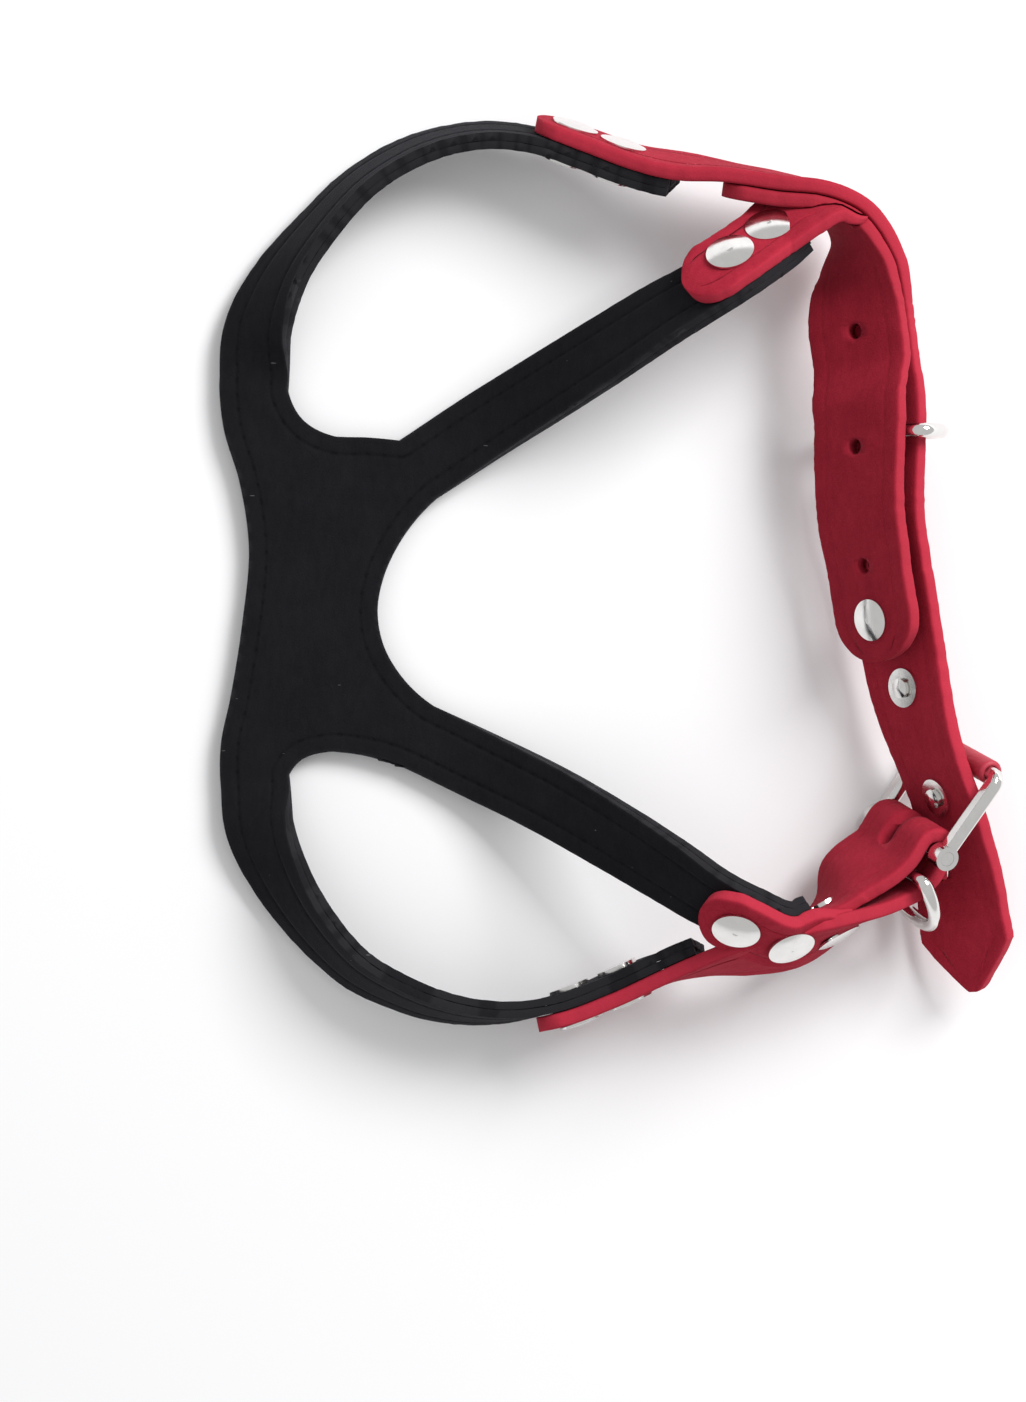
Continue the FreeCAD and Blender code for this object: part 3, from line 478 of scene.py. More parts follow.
def strap_mesh(name: str, places: Places, seed: int, ragged: float = 0.12) -> Piece:
    """Closed strap: the leather section carried along its places.

    A section point lies at centre + width * side * (half - inset) + normal * height; the
    edges wander a little, and a line of the face is sunk near each edge.

    Args:
        name: the piece's name.
        places: where the sections go.
        seed: for the wandering edges.
        ragged: how far the cut edges wander, in mm.

    Returns:
        The object with attributes edge, run and cut.
    """
    section = StrapSection()
    sign, inset, height, sink = section.loop()
    run = run_along(places.centre)

    def both_edges(pitch: float, size: float, first: int) -> Array:
        """Wander of each edge, with its own seed."""
        return np.where(sign > 0, wander(run, pitch, size, first)[:, None],
                        wander(run, pitch, size, first + 1)[:, None])

    scale = np.clip(places.half / section.full_half, 0.0, 1.0)[:, None]
    inset_mm = inset * np.where(inset > section.border, scale, np.minimum(1, scale * 2.4))
    rough = both_edges(0.9, ragged, seed)
    wavy = both_edges(7.0, 0.12, seed + 2)
    near_edge = np.exp(-inset_mm / 0.8)
    across = sign * (places.half[:, None] + (rough + wavy) * near_edge - inset_mm)
    sunk = sink * np.minimum(1, scale * 1.5) * np.sign(height)
    swell = wander(run, 9.0, 0.05, seed + 4)[:, None] * (1 - near_edge)
    out = height * places.thick[:, None] / 2 - sunk + swell
    verts = (places.centre[:, None] + places.width[:, None] * across[..., None]
             + places.normal[:, None] * out[..., None])
    rows, columns = across.shape
    ends = [list(range(columns))[::-1], [(rows - 1) * columns + k for k in range(columns)]]
    piece = add_mesh(name, verts.reshape(-1, 3), grid_quads(rows, columns, True), ends)
    set_attributes(piece, edge=inset_mm.ravel(), run=np.repeat(run, columns),
                   cut=np.tile((np.abs(height) < 0.9).astype(float), rows))
    face_outwards(piece)
    return piece


# ------ shader tools
def operator(operation: str, swapped: bool = False) -> Any:
    """A method that puts a value and any others into one Math node, reversed if asked."""
    def method(value: "Value", *others: Any) -> "Value":
        values = (value, *others)
        inputs = dict(enumerate(values[::-1] if swapped else values))
        node = value.shade.node("ShaderNodeMath", {"operation": operation}, inputs)
        return Value(value.shade, node.outputs[0])
    return method


class Value:
    """A shader socket that takes Python arithmetic; each operator adds one Math node."""

    __add__ = __radd__ = operator("ADD")
    __sub__, __rsub__ = operator("SUBTRACT"), operator("SUBTRACT", swapped=True)
    __mul__ = __rmul__ = operator("MULTIPLY")
    __truediv__ = operator("DIVIDE")
    __gt__, __lt__ = operator("GREATER_THAN"), operator("LESS_THAN")
    fraction, absolute = operator("FRACT"), operator("ABSOLUTE")

    def __init__(self, shade: "Shading", socket: Any) -> None:
        """Wraps a socket of the given shading."""
        self.shade = shade
        self.socket = socket

    def clamped(self) -> "Value":
        """Held between 0 and 1."""
        node = self.shade.node("ShaderNodeClamp", {}, {0: self})
        return Value(self.shade, node.outputs[0])


class Shading:
    """One material under construction, with a single method that adds any node."""

    def __init__(self, name: str) -> None:
        """Starts an empty node tree under a name."""
        self.material = bpy.data.materials.new(name)
        self.material.use_nodes = True
        self.tree = self.material.node_tree
        self.tree.nodes.clear()

    def node(self, kind: str, settings: dict[str, Any], inputs: dict[Any, Any]) -> Any:
        """Adds a node.

        Args:
            kind: the node's type name.
            settings: properties that are set first.
            inputs: socket name or number to a value, a socket or a Value.

        Returns:
            The node.
        """
        node = self.tree.nodes.new(kind)
        for key, value in settings.items():
            setattr(node, key, value)
        for key, value in inputs.items():
            if isinstance(value, Value):
                value = value.socket
            if isinstance(value, bpy.types.NodeSocket):
                self.tree.links.new(value, node.inputs[key])
            else:
                node.inputs[key].default_value = value
        return node

    def place(self) -> Any:
        """The Object coordinates socket."""
        return self.node("ShaderNodeTexCoord", {}, {}).outputs["Object"]

    def attribute(self, name: str) -> Value:
        """A number stored on the mesh."""
        node = self.node("ShaderNodeAttribute", {"attribute_name": name}, {})
        return Value(self, node.outputs["Fac"])

    def noise(self, where: Any, scale: float, detail: float, roughness: float) -> Value:
        """Noise from 0 to 1, scale per metre."""
        node = self.node("ShaderNodeTexNoise", {}, {"Vector": where, "Scale": scale,
                                                    "Detail": detail, "Roughness": roughness})
        return Value(self, node.outputs["Fac"])

    def stretched(self, where: Any, factors: tuple[float, float, float]) -> Any:
        """The place with each axis scaled."""
        return self.node("ShaderNodeMapping", {}, {"Vector": where, "Scale": factors}).outputs[0]

    def mix(self, amount: Any, low: Any, high: Any) -> Any:
        """Colour between low and high."""
        node = self.node("ShaderNodeMix", {"data_type": "RGBA"}, {0: amount, 6: low, 7: high})
        return node.outputs[2]

    def bump(self, height: Value, strength: float, distance: float, under: Any = None) -> Any:
        """Normal from a height, over another normal if given."""
        inputs = {"Height": height, "Strength": strength, "Distance": distance}
        if under is not None:
            inputs["Normal"] = under
        return self.node("ShaderNodeBump", {}, inputs).outputs[0]

    def surface(self, **inputs: Any) -> Material:
        """Ends in a Principled surface; names use _ for spaces."""
        shader = self.node("ShaderNodeBsdfPrincipled", {},
                           {key.replace("_", " "): value for key, value in inputs.items()})
        self.node("ShaderNodeOutputMaterial", {}, {"Surface": shader.outputs[0]})
        return self.material


# ------ finishes
@dataclass(frozen=True)
class Suede:
    """Napped leather: brushed patches, fine nap, a line of stitches with painted shade in its
    groove, pale cut edges.
    """

    name: str
    dark: Colour
    light: Colour
    cut: Colour
    # Colour of the painted shade in the creased line's groove.
    crease: Colour
    lint: bool = False
    stitch_pitch: float = 2.8
    line_half: float = 0.45
    # Depth of the line's bump, and the strength of its painted shade.
    line_depth: float = 0.3
    sheen: float = 0.06
    sheen_tint: Colour = (0.9, 0.25, 0.32, 1.0)

    def material(self) -> Material:
        """Builds the node tree."""
        sh = Shading(self.name)
        where = sh.place()
        patches = sh.noise(where, 170, 4, 0.6)
        strokes = sh.noise(sh.stretched(where, (1.0, 0.35, 1.0)), 900, 5, 0.65)
        nap = sh.noise(where, 3800, 4, 0.7)
        tone = (patches * 0.6 + strokes * 0.6 + nap * 0.9 - 0.57).clamped()
        colour = sh.mix(tone, self.dark, self.light)
        edge = sh.attribute("edge")
        run = sh.attribute("run")
        line = (1 - ((edge - LINE_INSET).absolute() / self.line_half)).clamped()
        stitch = (run / self.stitch_pitch).fraction() < 0.72
        hole = 1 - stitch
        # Painted shade: the sunk creased line is darkened, most in the gaps between the stitches.
        colour = sh.mix(line * (0.6 + 0.8 * hole) * self.line_depth, colour, self.crease)
        rim = (1 - edge / 0.7).clamped()
        cut = sh.attribute("cut")
        colour = sh.mix((rim * 0.35 + cut * 0.6) * (0.55 + nap * 0.6), colour, self.cut)
        if self.lint:
            fibre = sh.noise(sh.stretched(where, (0.3, 1.6, 1.0)), 1300, 0, 0.5) > 0.89
            colour = sh.mix(fibre * 0.4, colour, (0.20, 0.20, 0.20, 1.0))
        height = nap * 0.5 + strokes * 0.35 + patches * 0.15
        normal = sh.bump(height, 0.55, 0.00035)
        normal = sh.bump(1 - line * (0.5 + 0.5 * hole), self.line_depth, 0.00025, normal)
        return sh.surface(Base_Color=colour, Roughness=0.92 - 0.12 * tone, Normal=normal,
                          Specular_IOR_Level=0.1, Sheen_Weight=self.sheen,
                          Sheen_Roughness=0.45, Sheen_Tint=self.sheen_tint)


@dataclass(frozen=True)
class Nickel:
    """Bright nickel plate with faint handling marks."""

    name: str
    colour: Colour = (0.80, 0.79, 0.77, 1.0)
    dull: Colour = (0.62, 0.61, 0.60, 1.0)
    roughness: float = 0.10
    marks: float = 0.16

    def material(self) -> Material:
        """Builds the node tree."""
        sh = Shading(self.name)
        where = sh.place()
        smear = sh.noise(where, 420, 3, 0.6)
        fine = sh.noise(where, 4200, 3, 0.6)
        worn = (smear * 1.6 - 0.55).clamped()
        colour = sh.mix(worn * 0.6, self.colour, self.dull)
        normal = sh.bump(fine * 0.4 + smear * 0.6, 0.08, 0.00012)
        return sh.surface(Base_Color=colour, Metallic=1.0, Normal=normal,
                          Roughness=self.roughness + self.marks * worn)


@dataclass(frozen=True)
class Finishes:
    """Every finish of the harness."""

    black: Suede = Suede("black_suede", (0.0042, 0.0042, 0.0054, 1), (0.0125, 0.0122, 0.0150, 1),
                         (0.022, 0.021, 0.024, 1), (0.0018, 0.0018, 0.0022, 1), lint=True,
                         sheen_tint=(0.6, 0.6, 0.7, 1.0), line_depth=0.5)
    red: Suede = Suede("red_suede", (0.235, 0.0075, 0.019, 1), (0.47, 0.026, 0.052, 1),
                       (0.46, 0.030, 0.055, 1), (0.17, 0.006, 0.014, 1), line_depth=0.14)
    # A darker copy of the red suede for the inner layer and the buckle's sleeve: its darkness is
    # painted shade.
    red_inner_shaded: Suede = Suede("red_suede_inner", (0.20, 0.0070, 0.017, 1),
                             (0.40, 0.021, 0.042, 1), (0.42, 0.028, 0.050, 1),
                             (0.14, 0.005, 0.012, 1), line_depth=0.14)
    heads: Nickel = Nickel("rivet_nickel")
    wire: Nickel = Nickel("buckle_nickel", roughness=0.07, marks=0.10)


# ------ shaping helpers
def modify(piece: Piece, kind: str, **settings: Any) -> None:
    """Adds a modifier with its settings."""
    step = piece.modifiers.new(kind.lower(), kind)
    for key, value in settings.items():
        setattr(step, key, value)


def cut_away(piece: Piece, tools: Sequence[Piece]) -> None:
    """Takes the tools' shapes out of a piece, and the tools out of the scene."""
    for tool in tools:
        modify(piece, "BOOLEAN", object=tool, operation="DIFFERENCE", solver="EXACT")
    apply_modifiers(piece)
    for tool in tools:
        bpy.data.objects.remove(tool)


def apply_modifiers(piece: Piece) -> None:
    """Turns a piece with modifiers into its finished mesh."""
    ready = piece.evaluated_get(bpy.context.evaluated_depsgraph_get())
    mesh = bpy.data.meshes.new_from_object(ready)
    piece.modifiers.clear()
    piece.data = mesh
    smooth(mesh)


def plug(name: str, centre: Array, axis: Array, across: Array,
         outline: Array, reach: float) -> Piece:
    """Prism used as a cutter.

    Args:
        name: working name.
        centre: its middle, in mm.
        axis: unit vector along which it runs.
        across: unit vector of the outline's first coordinate.
        outline: points (u, v) in mm.
        reach: half its length.

    Returns:
        The closed prism.
    """
    other = np.cross(axis, across)
    ring = centre + outline[:, :1] * across + outline[:, 1:] * other
    verts = np.concatenate([ring - axis * reach, ring + axis * reach])
    n = len(outline)
    piece = add_mesh(name, verts, grid_quads(2, n, True), [list(range(n))[::-1],
                                                           list(range(n, 2 * n))])
    face_outwards(piece)
    return piece


def round_outline(radius: float, count: int = 28) -> Array:
    """Circle as (u, v) points."""
    turn = np.linspace(0, 2 * math.pi, count, endpoint=False)
    return np.stack([np.cos(turn), np.sin(turn)], axis=1) * radius


def slot_outline(back: float, front: float, half: float, count: int = 10) -> Array:
    """Slot from back to front with round ends, as (u, v) points."""
    turn = np.linspace(-math.pi / 2, math.pi / 2, count)
    right = np.stack([front - half + np.cos(turn) * half, np.sin(turn) * half], axis=1)
    left = np.stack([back + half - np.cos(turn) * half, -np.sin(turn) * half], axis=1)
    return np.concatenate([right, left])


def finish_piece(piece: Piece, body: str, material: Material,
                 replaces: Sequence[str]) -> None:
    """Gives a piece its material and any body, and hides the solids it stands for."""
    piece.data.materials.clear()
    piece.data.materials.append(material)
    if body:
        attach(piece, body)
    if replaces:
        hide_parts(*replaces)
    LOG.info("%s: %d faces on %s", piece.name, len(piece.data.polygons), body)


# ------ black panel
@dataclass(frozen=True)
class Side:
    """Plan boundary of the flat middle, from one arm's root corner through points to another's.

    A corner is (arm, -1 or +1).
    """

    first: tuple[str, int]
    last: tuple[str, int]
    through: tuple[tuple[float, float], ...]


@dataclass
class Panel:
    """The flat middle with its four arms, in two glued layers; arms are (band, end)."""

    outside: Side = Side(("upper", -1), ("lower", -1), (
        (-68.9, 25.4), (-66.0, 15.4), (-64.4, 4.4), (-65.5, -8.8), (-67.7, -22.6),
        (-69.3, -30.4)))
    upper_crotch: Side = Side(("upper", 1), ("upper_inner", -1), (
        (-54.6, 26.2), (-49.4, 23.6), (-43.8, 23.4)))
    notch: Side = Side(("upper_inner", 1), ("lower_inner", 1), (
        (-38.4, 4.4), (-40.9, -1.2), (-41.9, -6.4), (-41.0, -12.6), (-37.6, -18.6)))
    lower_crotch: Side = Side(("lower_inner", -1), ("lower", 1), (
        (-45.0, -32.2), (-51.0, -31.8), (-55.6, -33.4)))
    columns: int = 33
    step: float = 0.8
    merge: float = 2e-5
    soft_edge: float = 0.3
    soft_angle: float = 50.0
    arms: dict[str, tuple[Band, float]] = field(default_factory=lambda: {
        "upper": (UPPER, 10.9), "lower": (LOWER, 11.0), "upper_inner": (UPPER_INNER, 7.7),
        "lower_inner": (LOWER_INNER, 7.5)})

    def root(self, name: str, sign: int) -> Array:
        """Plan point of one corner of an arm's root."""
        return self.arms[name][0].point(0.0, sign * SIZES.arm_half)[:2]

    def curve(self, side: Side, count: int) -> Array:
        """Smooth plan curve along a side: a cubic Hermite line by chord length."""
        points = np.array([self.root(*side.first), *side.through, self.root(*side.last)])
        chord = run_along(points)
        slope = np.gradient(points, chord, axis=0, edge_order=2)
        u = np.linspace(0, chord[-1], count)
        i = np.clip(np.searchsorted(chord, u, side="right") - 1, 0, len(points) - 2)
        span = (chord[i + 1] - chord[i])[:, None]
        t = (u - chord[i])[:, None] / span
        return hermite(t, (points[i], points[i + 1]), (slope[i], slope[i + 1]), span)

    def bridge(self) -> tuple[Array, Array]:
        """Left and right plan boundaries of the flat middle, row by row from the top."""
        n = self.columns
        left_curve = self.curve(self.outside, 400)
        right = np.concatenate([
            self.curve(self.upper_crotch, 34),
            np.linspace(self.root("upper_inner", -1), self.root("upper_inner", 1), n)[1:],
            self.curve(self.notch, 52)[1:],
            np.linspace(self.root("lower_inner", 1), self.root("lower_inner", -1), n)[1:],
            self.curve(self.lower_crotch, 34)[1:]])
        run = run_along(left_curve)
        at = np.linspace(0, 1, len(right)) * run[-1]
        left = np.stack([np.interp(at, run, left_curve[:, k]) for k in (0, 1)], axis=1)
        left[0], left[-1] = left_curve[0], left_curve[-1]
        return left, right

    def chains(self, out: float) -> list[Array]:
        """The layer's real edges as rows of points: outside, two loops and the notch."""
        def edge(name: str, sign: int) -> Array:
            band, end = self.arms[name]
            centre, _, width, normal = band.frames(np.linspace(0, end, 260))
            return centre + width * sign * SIZES.arm_half + normal * out

        def chain(side: Side, count: int) -> Array:
            level = np.full((count, 1), SIZES.panel_half + out)
            middle = np.concatenate([self.curve(side, count), level], axis=1)
            return np.concatenate([edge(*side.first)[::-1], middle, edge(*side.last)])

        return [chain(self.outside, 160), chain(self.upper_crotch, 60), chain(self.notch, 80),
                chain(self.lower_crotch, 60)]

    def layer(self, name: str, out: float, seed: int) -> Piece:
        """One black layer.

        The middle is a grid ruled between its left and right boundaries; each arm is a grid
        swept along its band.  They share their root rows, are merged, thickened and rounded.

        Args:
            name: the piece's name.
            out: the layer's place across the panel's thickness.
            seed: for its wandering edges.

        Returns:
            The finished layer.
        """
        left, right = self.bridge()
        share = np.linspace(0, 1, self.columns)[None, :, None]
        plan = left[:, None, :] * (1 - share) + right[:, None, :] * share
        level = np.full(plan.shape[:2] + (1,), SIZES.panel_half + out)
        grids = [np.concatenate([plan, level], axis=2)]
        for band, end in self.arms.values():
            count = int(band.length(0, end) / self.step) + 2
            s = band.at_distances(0.0, np.linspace(0, band.length(0, end), count))
            centre, _, width, normal = band.frames(s)
            across = np.linspace(-1, 1, self.columns)[None, :, None] * SIZES.arm_half
            grids.append(centre[:, None] + width[:, None] * across + normal[:, None] * out)
        verts, quads, first = [], [], 0
        for grid in grids:
            quads.append(grid_quads(grid.shape[0], grid.shape[1], False, first))
            verts.append(grid.reshape(-1, 3))
            first += grid.shape[0] * grid.shape[1]
        piece = add_mesh(name, np.concatenate(verts), np.concatenate(quads))
        face_outwards(piece, merge=self.merge)
        modify(piece, "SOLIDIFY", thickness=SIZES.panel_layer * MM, offset=0.0,
               use_even_offset=False)
        modify(piece, "BEVEL", width=self.soft_edge * MM, segments=2, limit_method="ANGLE",
               angle_limit=math.radians(self.soft_angle))
        apply_modifiers(piece)
        self.mark_edges(piece, out, seed)
        face_outwards(piece)
        return piece

    def mark_edges(self, piece: Piece, out: float, seed: int) -> None:
        """Stores distance from the nearest edge and run along it, and roughens the edges.

        Args:
            piece: the layer, thickened.
            out: its place across the panel.
            seed: for the wandering edges.
        """
        mesh = piece.data
        points = vertex_vectors(mesh, "co") / MM - ORIGIN_SHIFT
        chains = self.chains(out)
        runs, start = [], 0.0
        for chain in chains:
            runs.append(start + run_along(chain))
            start = runs[-1][-1] + 40.0
        border, run = np.concatenate(chains), np.concatenate(runs)
        edge = np.empty(len(points))
        near = np.empty(len(points), int)
        for block in np.array_split(np.arange(len(points)), max(1, len(points) // 4000)):
            gap = np.linalg.norm(points[block, None] - border[None], axis=2)
            near[block] = gap.argmin(axis=1)
            edge[block] = gap[np.arange(len(block)), near[block]]
        half = SIZES.panel_layer / 2
        edge = np.sqrt(np.maximum(edge**2 - half**2, 0.0))
        normals = vertex_vectors(mesh, "normal")
        along = run[near]
        fray = wander(along, 0.8, 0.12, seed) + wander(along, 6.0, 0.10, seed + 1)
        away = points - border[near]
        away /= np.maximum(np.linalg.norm(away, axis=1, keepdims=True), 0.2)
        crease = 0.14 * np.exp(-(((edge - LINE_INSET) / 0.4) ** 2))
        swell = wander(points[:, 0] + 90, 7.0, 0.04, seed + 2)
        points = points + away * (fray * np.exp(-edge / 0.7) * 0.5)[:, None]
        points = points - normals * (crease - swell * (edge > 1))[:, None]
        mesh.vertices.foreach_set("co", ((points + ORIGIN_SHIFT) * MM).ravel().astype(np.float32))
        mesh.update()
        set_attributes(piece, edge=edge, run=along, cut=(edge < 0.12).astype(float))

    def build(self, finishes: Finishes) -> None:
        """Builds both layers and dresses them."""
        black = finishes.black.material()
        shift = (SIZES.panel_layer + SIZES.glue_gap) / 2
        for node, slot, out, seed in (("panel_face", "black_suede", shift, 11),
                                      ("panel_lining", "black_suede_lining", -shift, 31)):
            piece = self.layer(f"{node}_suede", out, seed)
            finish_piece(piece, "harness", black, [node])


# ------ red straps
@dataclass
class RedStraps:
    """Two yokes, the doubled size strap and the fold that holds the buckle.

    Tips, stations and size_hole are places along a band.  Lift and settle are (start past
    the ring, length) in stations, and a finger thins by (mm, over its last stations).  The
    rest is in mm; a slot is (back, front, half width), from the heel bar.
    """

    upper_tip: float = 7.9
    upper_finger_tip: float = 4.75
    lower_tip: float = 7.6
    lower_finger_tip: float = 5.0
    finger_thins: tuple[float, float] = (0.9, 1.5)
    tail_slot: tuple[float, float, float] = (-3.0, 3.1, 1.6)
    tail_slot_reach: float = 8.0
    fold_slot: tuple[float, float, float] = (-4.0, 9.0, 1.8)
    fold_slot_reach: float = 7.0
    fold_sections: int = 20
    ring_station: float = 19.33
    lift: tuple[float, float] = (-1.4, 0.9)
    settle: tuple[float, float] = (0.3, 2.0)
    bend_past_ring: tuple[float, float] = (3.4, 9.5)
    snap_station: float = 22.95
    size_tip: float = 11.9
    tip_to_hole: float = 5.0
    size_hole: float = 17.4
    hole_pitch: float = 20.0
    hole_r: float = 1.4
    hole_reach: float = 7.0
    flap_beyond: float = 7.4
    seeds: dict[str, int] = field(default_factory=lambda: {"upper": 101, "lower": 121})

    def inner_offset(self, s: Array) -> Array:
        """Offset of the inner layer: tucked, then lifted over the ring, then over the snap.

        Each change is a smooth step 3t^2 - 2t^3.
        """
        def eased(start: float, length: float) -> Array:
            t = np.clip((s - self.ring_station - start) / length, 0, 1)
            return t * t * (3 - 2 * t)

        lifted = SIZES.tucked + (SIZES.lifted - SIZES.tucked) * eased(*self.lift)
        return lifted + (SIZES.snapped - SIZES.lifted) * eased(*self.settle)

    def finger(self, band: Band, tip: float, grow: float = 0.0) -> Places:
        """Inner finger of a yoke, thinning where it runs inside the neck."""
        loss, over = self.finger_thins

        def thick(s: Array) -> Array:
            thinned = loss * np.clip((s - band.last + over) / over, 0, 1)
            return SIZES.strap_thick + 2 * grow - thinned

        def half(s: Array) -> Array:
            return np.maximum(band.value(s, HALF), SIZES.finger_half) + grow

        return strap_places(band, tip, band.last, SIZES.red_offset, thick, half,
                            start=Tip.ROUND)

    def yoke(self, name: str, places: Places, slot: Piece, finger: Places,
             red: Material) -> None:
        """One yoke: its strap with the tongue's slot, and its inner finger."""
        seed = self.seeds[name]
        strap = strap_mesh(f"{name}_yoke_leather", places, seed)
        cut_away(strap, [slot])
        inner = strap_mesh(f"{name}_finger_leather", finger, seed + 10)
        finish_piece(strap, "harness", red, [f"{name}_yoke_strap"])
        finish_piece(inner, "harness", red, [])

    def long_strap(self, red: Material) -> None:
        """Upper yoke with the long strap that runs through the buckle."""
        places = strap_places(UPPER, self.upper_tip, UPPER.last, SIZES.red_offset,
                              SIZES.strap_thick, start=Tip.ROUND, end=Tip.POINT)
        slot = plug("tool", BAR_POINT + BAR_NORMAL * self.tail_slot_reach, BAR_NORMAL,
                    BUCKLE_ALONG, slot_outline(*self.tail_slot), self.tail_slot_reach)
        self.yoke("upper", places, slot, self.finger(UPPER_INNER, self.upper_finger_tip), red)

    def fold_strap(self, red: Material) -> None:
        """Lower yoke, its turn round the heel bar and the layer that folds back."""
        outer = strap_places(LOWER, self.lower_tip, LOWER.last, SIZES.red_offset,
                             SIZES.strap_thick, start=Tip.ROUND)
        n = self.fold_sections
        turn = np.linspace(0, math.pi, n + 2)[1:-1, None]
        away = np.cos(turn) * BAR_NORMAL + np.sin(turn) * BUCKLE_ALONG
        bend = Places(BAR_POINT + away * SIZES.red_offset, np.tile(BAR_WIDTH, (n, 1)), away,
                      np.full(n, SIZES.strap_half), np.full(n, SIZES.strap_thick))
        leaf = strap_places(LEAF, 0.0, LEAF.last, 0.0, SIZES.strap_thick, start=Tip.ROUND)
        back = Places(leaf.centre[::-1], leaf.width[::-1], -leaf.normal[::-1], leaf.half[::-1],
                      leaf.thick[::-1])
        slot = plug("tool", BAR_POINT, BAR_NORMAL, BUCKLE_ALONG, slot_outline(*self.fold_slot),
                    self.fold_slot_reach)
        self.yoke("lower", outer.joined(bend, back), slot,
                  self.finger(LOWER_INNER, self.lower_finger_tip), red)

    def size_strap(self, red: Material) -> None:
        """The inner layer: fixed down to the ring, then the flap that the snap holds."""
        end = float(UPPER.at_distances(self.snap_station, np.array([self.flap_beyond]))[0])
        places = strap_places(UPPER, self.size_tip, end, self.inner_offset, SIZES.strap_thick,
                              start=Tip.ROUND, end=Tip.LONG_ROUND)
        strap = strap_mesh("size_strap_leather", places, 141)
        stations = np.concatenate([
            UPPER.at_distances(self.size_tip, np.array([self.tip_to_hole])),
            UPPER.at_distances(self.size_hole, self.hole_pitch * np.arange(3.0))])
        centre, along, _, normal = UPPER.frames(stations)
        tools = [plug(f"tool{k}", centre[k], normal[k], along[k], round_outline(self.hole_r),
                      self.hole_reach) for k in range(len(stations))]
        room = self.finger(UPPER_INNER, self.upper_finger_tip, SIZES.seat_gap)
        tools.append(strap_mesh("toolf", room, 111, 0.0))
        cut_away(strap, tools)
        finish_piece(strap, "", red, ["size_strap", "size_strap_flap"])
        bend = UPPER.at_distances(self.ring_station, np.array(self.bend_past_ring))
        centre, _, _, normal = UPPER.frames(bend)
        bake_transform(strap)

    def build(self, finishes: Finishes) -> None:
        """Builds every red strap."""
        red = finishes.red.material()
        self.long_strap(red)
        self.fold_strap(red)
        # The inner layer takes the darker copy of the red suede, whose darkness is painted shade.
        self.size_strap(finishes.red_inner_shaded.material())


# ------ hardware
@dataclass
class Hardware:
    """Nickel parts, and the suede sleeve on the buckle's front rim."""

    rim_from_bar: float = 16.35
    sleeve_inner: float = 1.35
    sleeve_thick: float = 0.8
    sleeve_half: float = 9.35
    sleeve_seam: float = 0.12
    sleeve_round: float = 0.5
    sleeve_rough: float = 0.015
    sleeve_end: float = 0.35
    rings: int = 60
    around: int = 72

    def sleeve(self, material: Material) -> None:
        """Suede rolled round the rim, as a tube with a shallow groove at its seam.

        The outer radius is inner + thickness - seam * |sin(turn / 2)|^8, so it dips on the
        side away from turn 0.  The ends are rounded, and the bore closes the tube inside.
        """
        n, rings, rounding = self.around, self.rings, self.sleeve_round
        centre = BAR_POINT + BUCKLE_ALONG * self.rim_from_bar
        turn = np.linspace(0, 2 * math.pi, n, endpoint=False)
        dip = self.sleeve_seam * np.abs(np.sin(turn / 2)) ** 8
        outer = self.sleeve_inner + self.sleeve_thick - dip
        along = np.linspace(-self.sleeve_half, self.sleeve_half, rings)
        past = ((np.abs(along) - self.sleeve_half + rounding) / rounding).clip(0, 1)
        soft = np.sqrt(np.clip(1 - past**2, 0, 1))
        rough = np.random.default_rng(7).normal(0, self.sleeve_rough, (rings, n))
        share = self.sleeve_end + (1 - self.sleeve_end) * soft[:, None]
        radius = self.sleeve_inner + (outer - self.sleeve_inner) * share + rough
        rows = np.concatenate([radius, np.full((2, n), self.sleeve_inner)])
        place = np.concatenate([along, [self.sleeve_half, -self.sleeve_half]])
        spoke = np.cos(turn)[:, None] * BUCKLE_ALONG + np.sin(turn)[:, None] * BAR_NORMAL
        verts = centre + place[:, None, None] * BAR_WIDTH + rows[..., None] * spoke[None]
        j, final = np.arange(n), (rings + 1) * n
        last = np.stack([final + j, final + (j + 1) % n, (j + 1) % n, j], axis=1)
        piece = add_mesh("buckle_sleeve_suede", verts.reshape(-1, 3),
                         np.concatenate([grid_quads(rings + 2, n, True), last]))
        set_attributes(piece, edge=6.0, run=0.0, cut=0.0)
        face_outwards(piece)
        finish_piece(piece, "buckle", material, ["buckle_sleeve"])

    def build(self, finishes: Finishes, nodes: dict[str, Piece]) -> None:
        """Plates the metal nodes and adds the sleeve."""
        heads, wire = finishes.heads.material(), finishes.wire.material()
        for name, node in nodes.items():
            if "rivet" in name or "snap" in name:
                metal = heads
            elif name.startswith(("buckle_", "d_ring")) and "sleeve" not in name:
                metal = wire
            else:
                continue
            node.data.materials.clear()
            node.data.materials.append(metal)
            LOG.info("%s plated", name)
        # The sleeve takes the darker copy of the red suede, whose darkness is painted shade.
        self.sleeve(bpy.data.materials["red_suede_inner"])


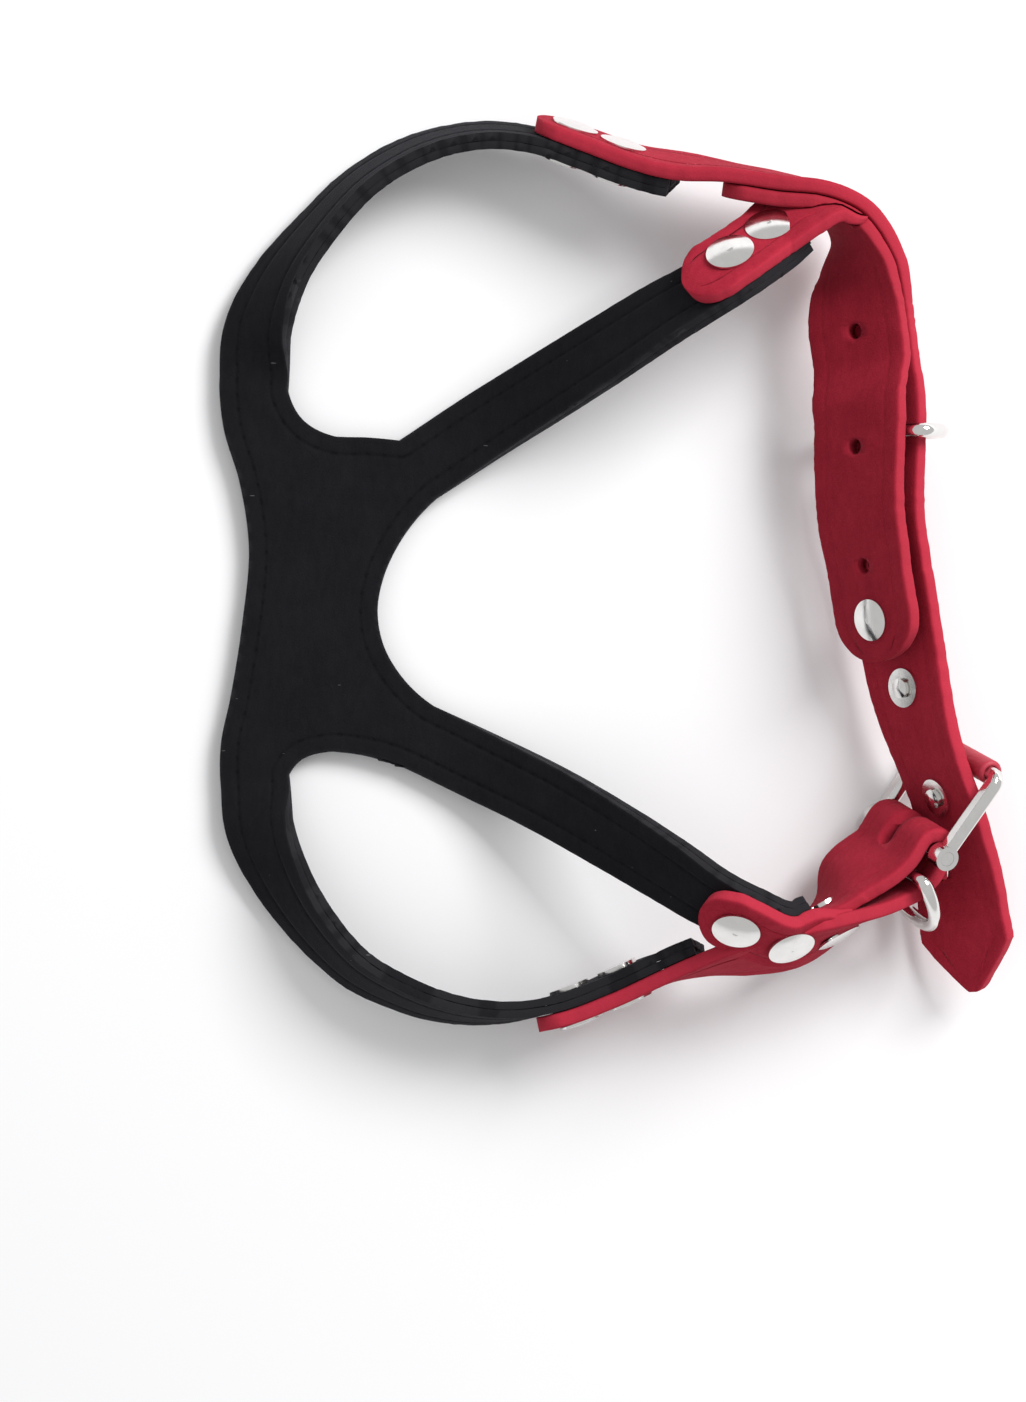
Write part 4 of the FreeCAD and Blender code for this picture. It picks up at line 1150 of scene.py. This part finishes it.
# ------ studio
@dataclass
class Studio:
    """White table, soft light from the upper right and a camera straight above."""

    height: float = 0.600
    aim: tuple[float, float] = (-18.1, -22.8)
    view_height: float = 0.24683
    sensor: float = 36.0
    table_half: float = 3.0
    table_drop: float = 0.0002
    lamp_side: float = 0.45
    lamp_watts: float = 9.0
    lamp_place: tuple[float, float, float] = (0.55, 0.50, 0.62)
    world_strength: float = 0.62

    def table(self) -> None:
        """A plain white floor just under the harness."""
        sh = Shading("table_white")
        white = sh.node("ShaderNodeBsdfDiffuse", {}, {"Color": (0.93, 0.93, 0.94, 1)})
        sh.node("ShaderNodeOutputMaterial", {}, {"Surface": white.outputs[0]})
        mesh = bpy.data.meshes.new("table")
        r, z = self.table_half, -self.table_drop
        mesh.from_pydata([(-r, -r, z), (r, -r, z), (r, r, z), (-r, r, z)], [], [(0, 1, 2, 3)])
        mesh.materials.append(sh.material)
        table = add_object("table", mesh)

    def lamps(self) -> None:
        """A broad key lamp at the upper right and a plain white world."""
        world = bpy.data.worlds.new("studio")
        world.use_nodes = True
        sky = world.node_tree.nodes["Background"]
        sky.inputs[0].default_value = (1, 1, 1, 1)
        sky.inputs[1].default_value = self.world_strength
        bpy.context.scene.world = world
        key = bpy.data.lights.new("key", "AREA")
        key.shape = "RECTANGLE"
        key.size, key.size_y = self.lamp_side, self.lamp_side
        key.energy = self.lamp_watts
        lamp = add_object("key", key)
        lamp.location = self.lamp_place
        x, y, z = lamp.location
        lamp.rotation_euler = (math.atan2(math.hypot(x, y), z), 0.0, math.atan2(x, -y))

    def camera(self) -> None:
        """Looks straight down from a named height; the lens covers the view's height."""
        data = bpy.data.cameras.new("camera")
        data.sensor_fit = "VERTICAL"
        data.sensor_height = self.sensor
        data.lens = self.sensor * self.height / self.view_height
        data.clip_end = 10.0
        eye = add_object("camera", data)
        eye.location = ((self.aim[0] + ORIGIN_SHIFT[0]) * MM, (self.aim[1] + ORIGIN_SHIFT[1]) * MM,
                        self.height)
        bpy.context.scene.camera = eye

    def build(self) -> None:
        """Sets up the whole studio."""
        bpy.context.scene.view_settings.view_transform = "Standard"
        self.table()
        self.lamps()
        self.camera()


def main() -> None:
    """Builds the harness piece by piece."""
    logging.basicConfig(level=logging.INFO, format="%(name)s %(message)s")
    finishes = Finishes()
    Studio().build()
    Panel().build(finishes)
    RedStraps().build(finishes)
    Hardware().build(finishes, frame["nodes"])


if __name__ == "__main__":
    main()
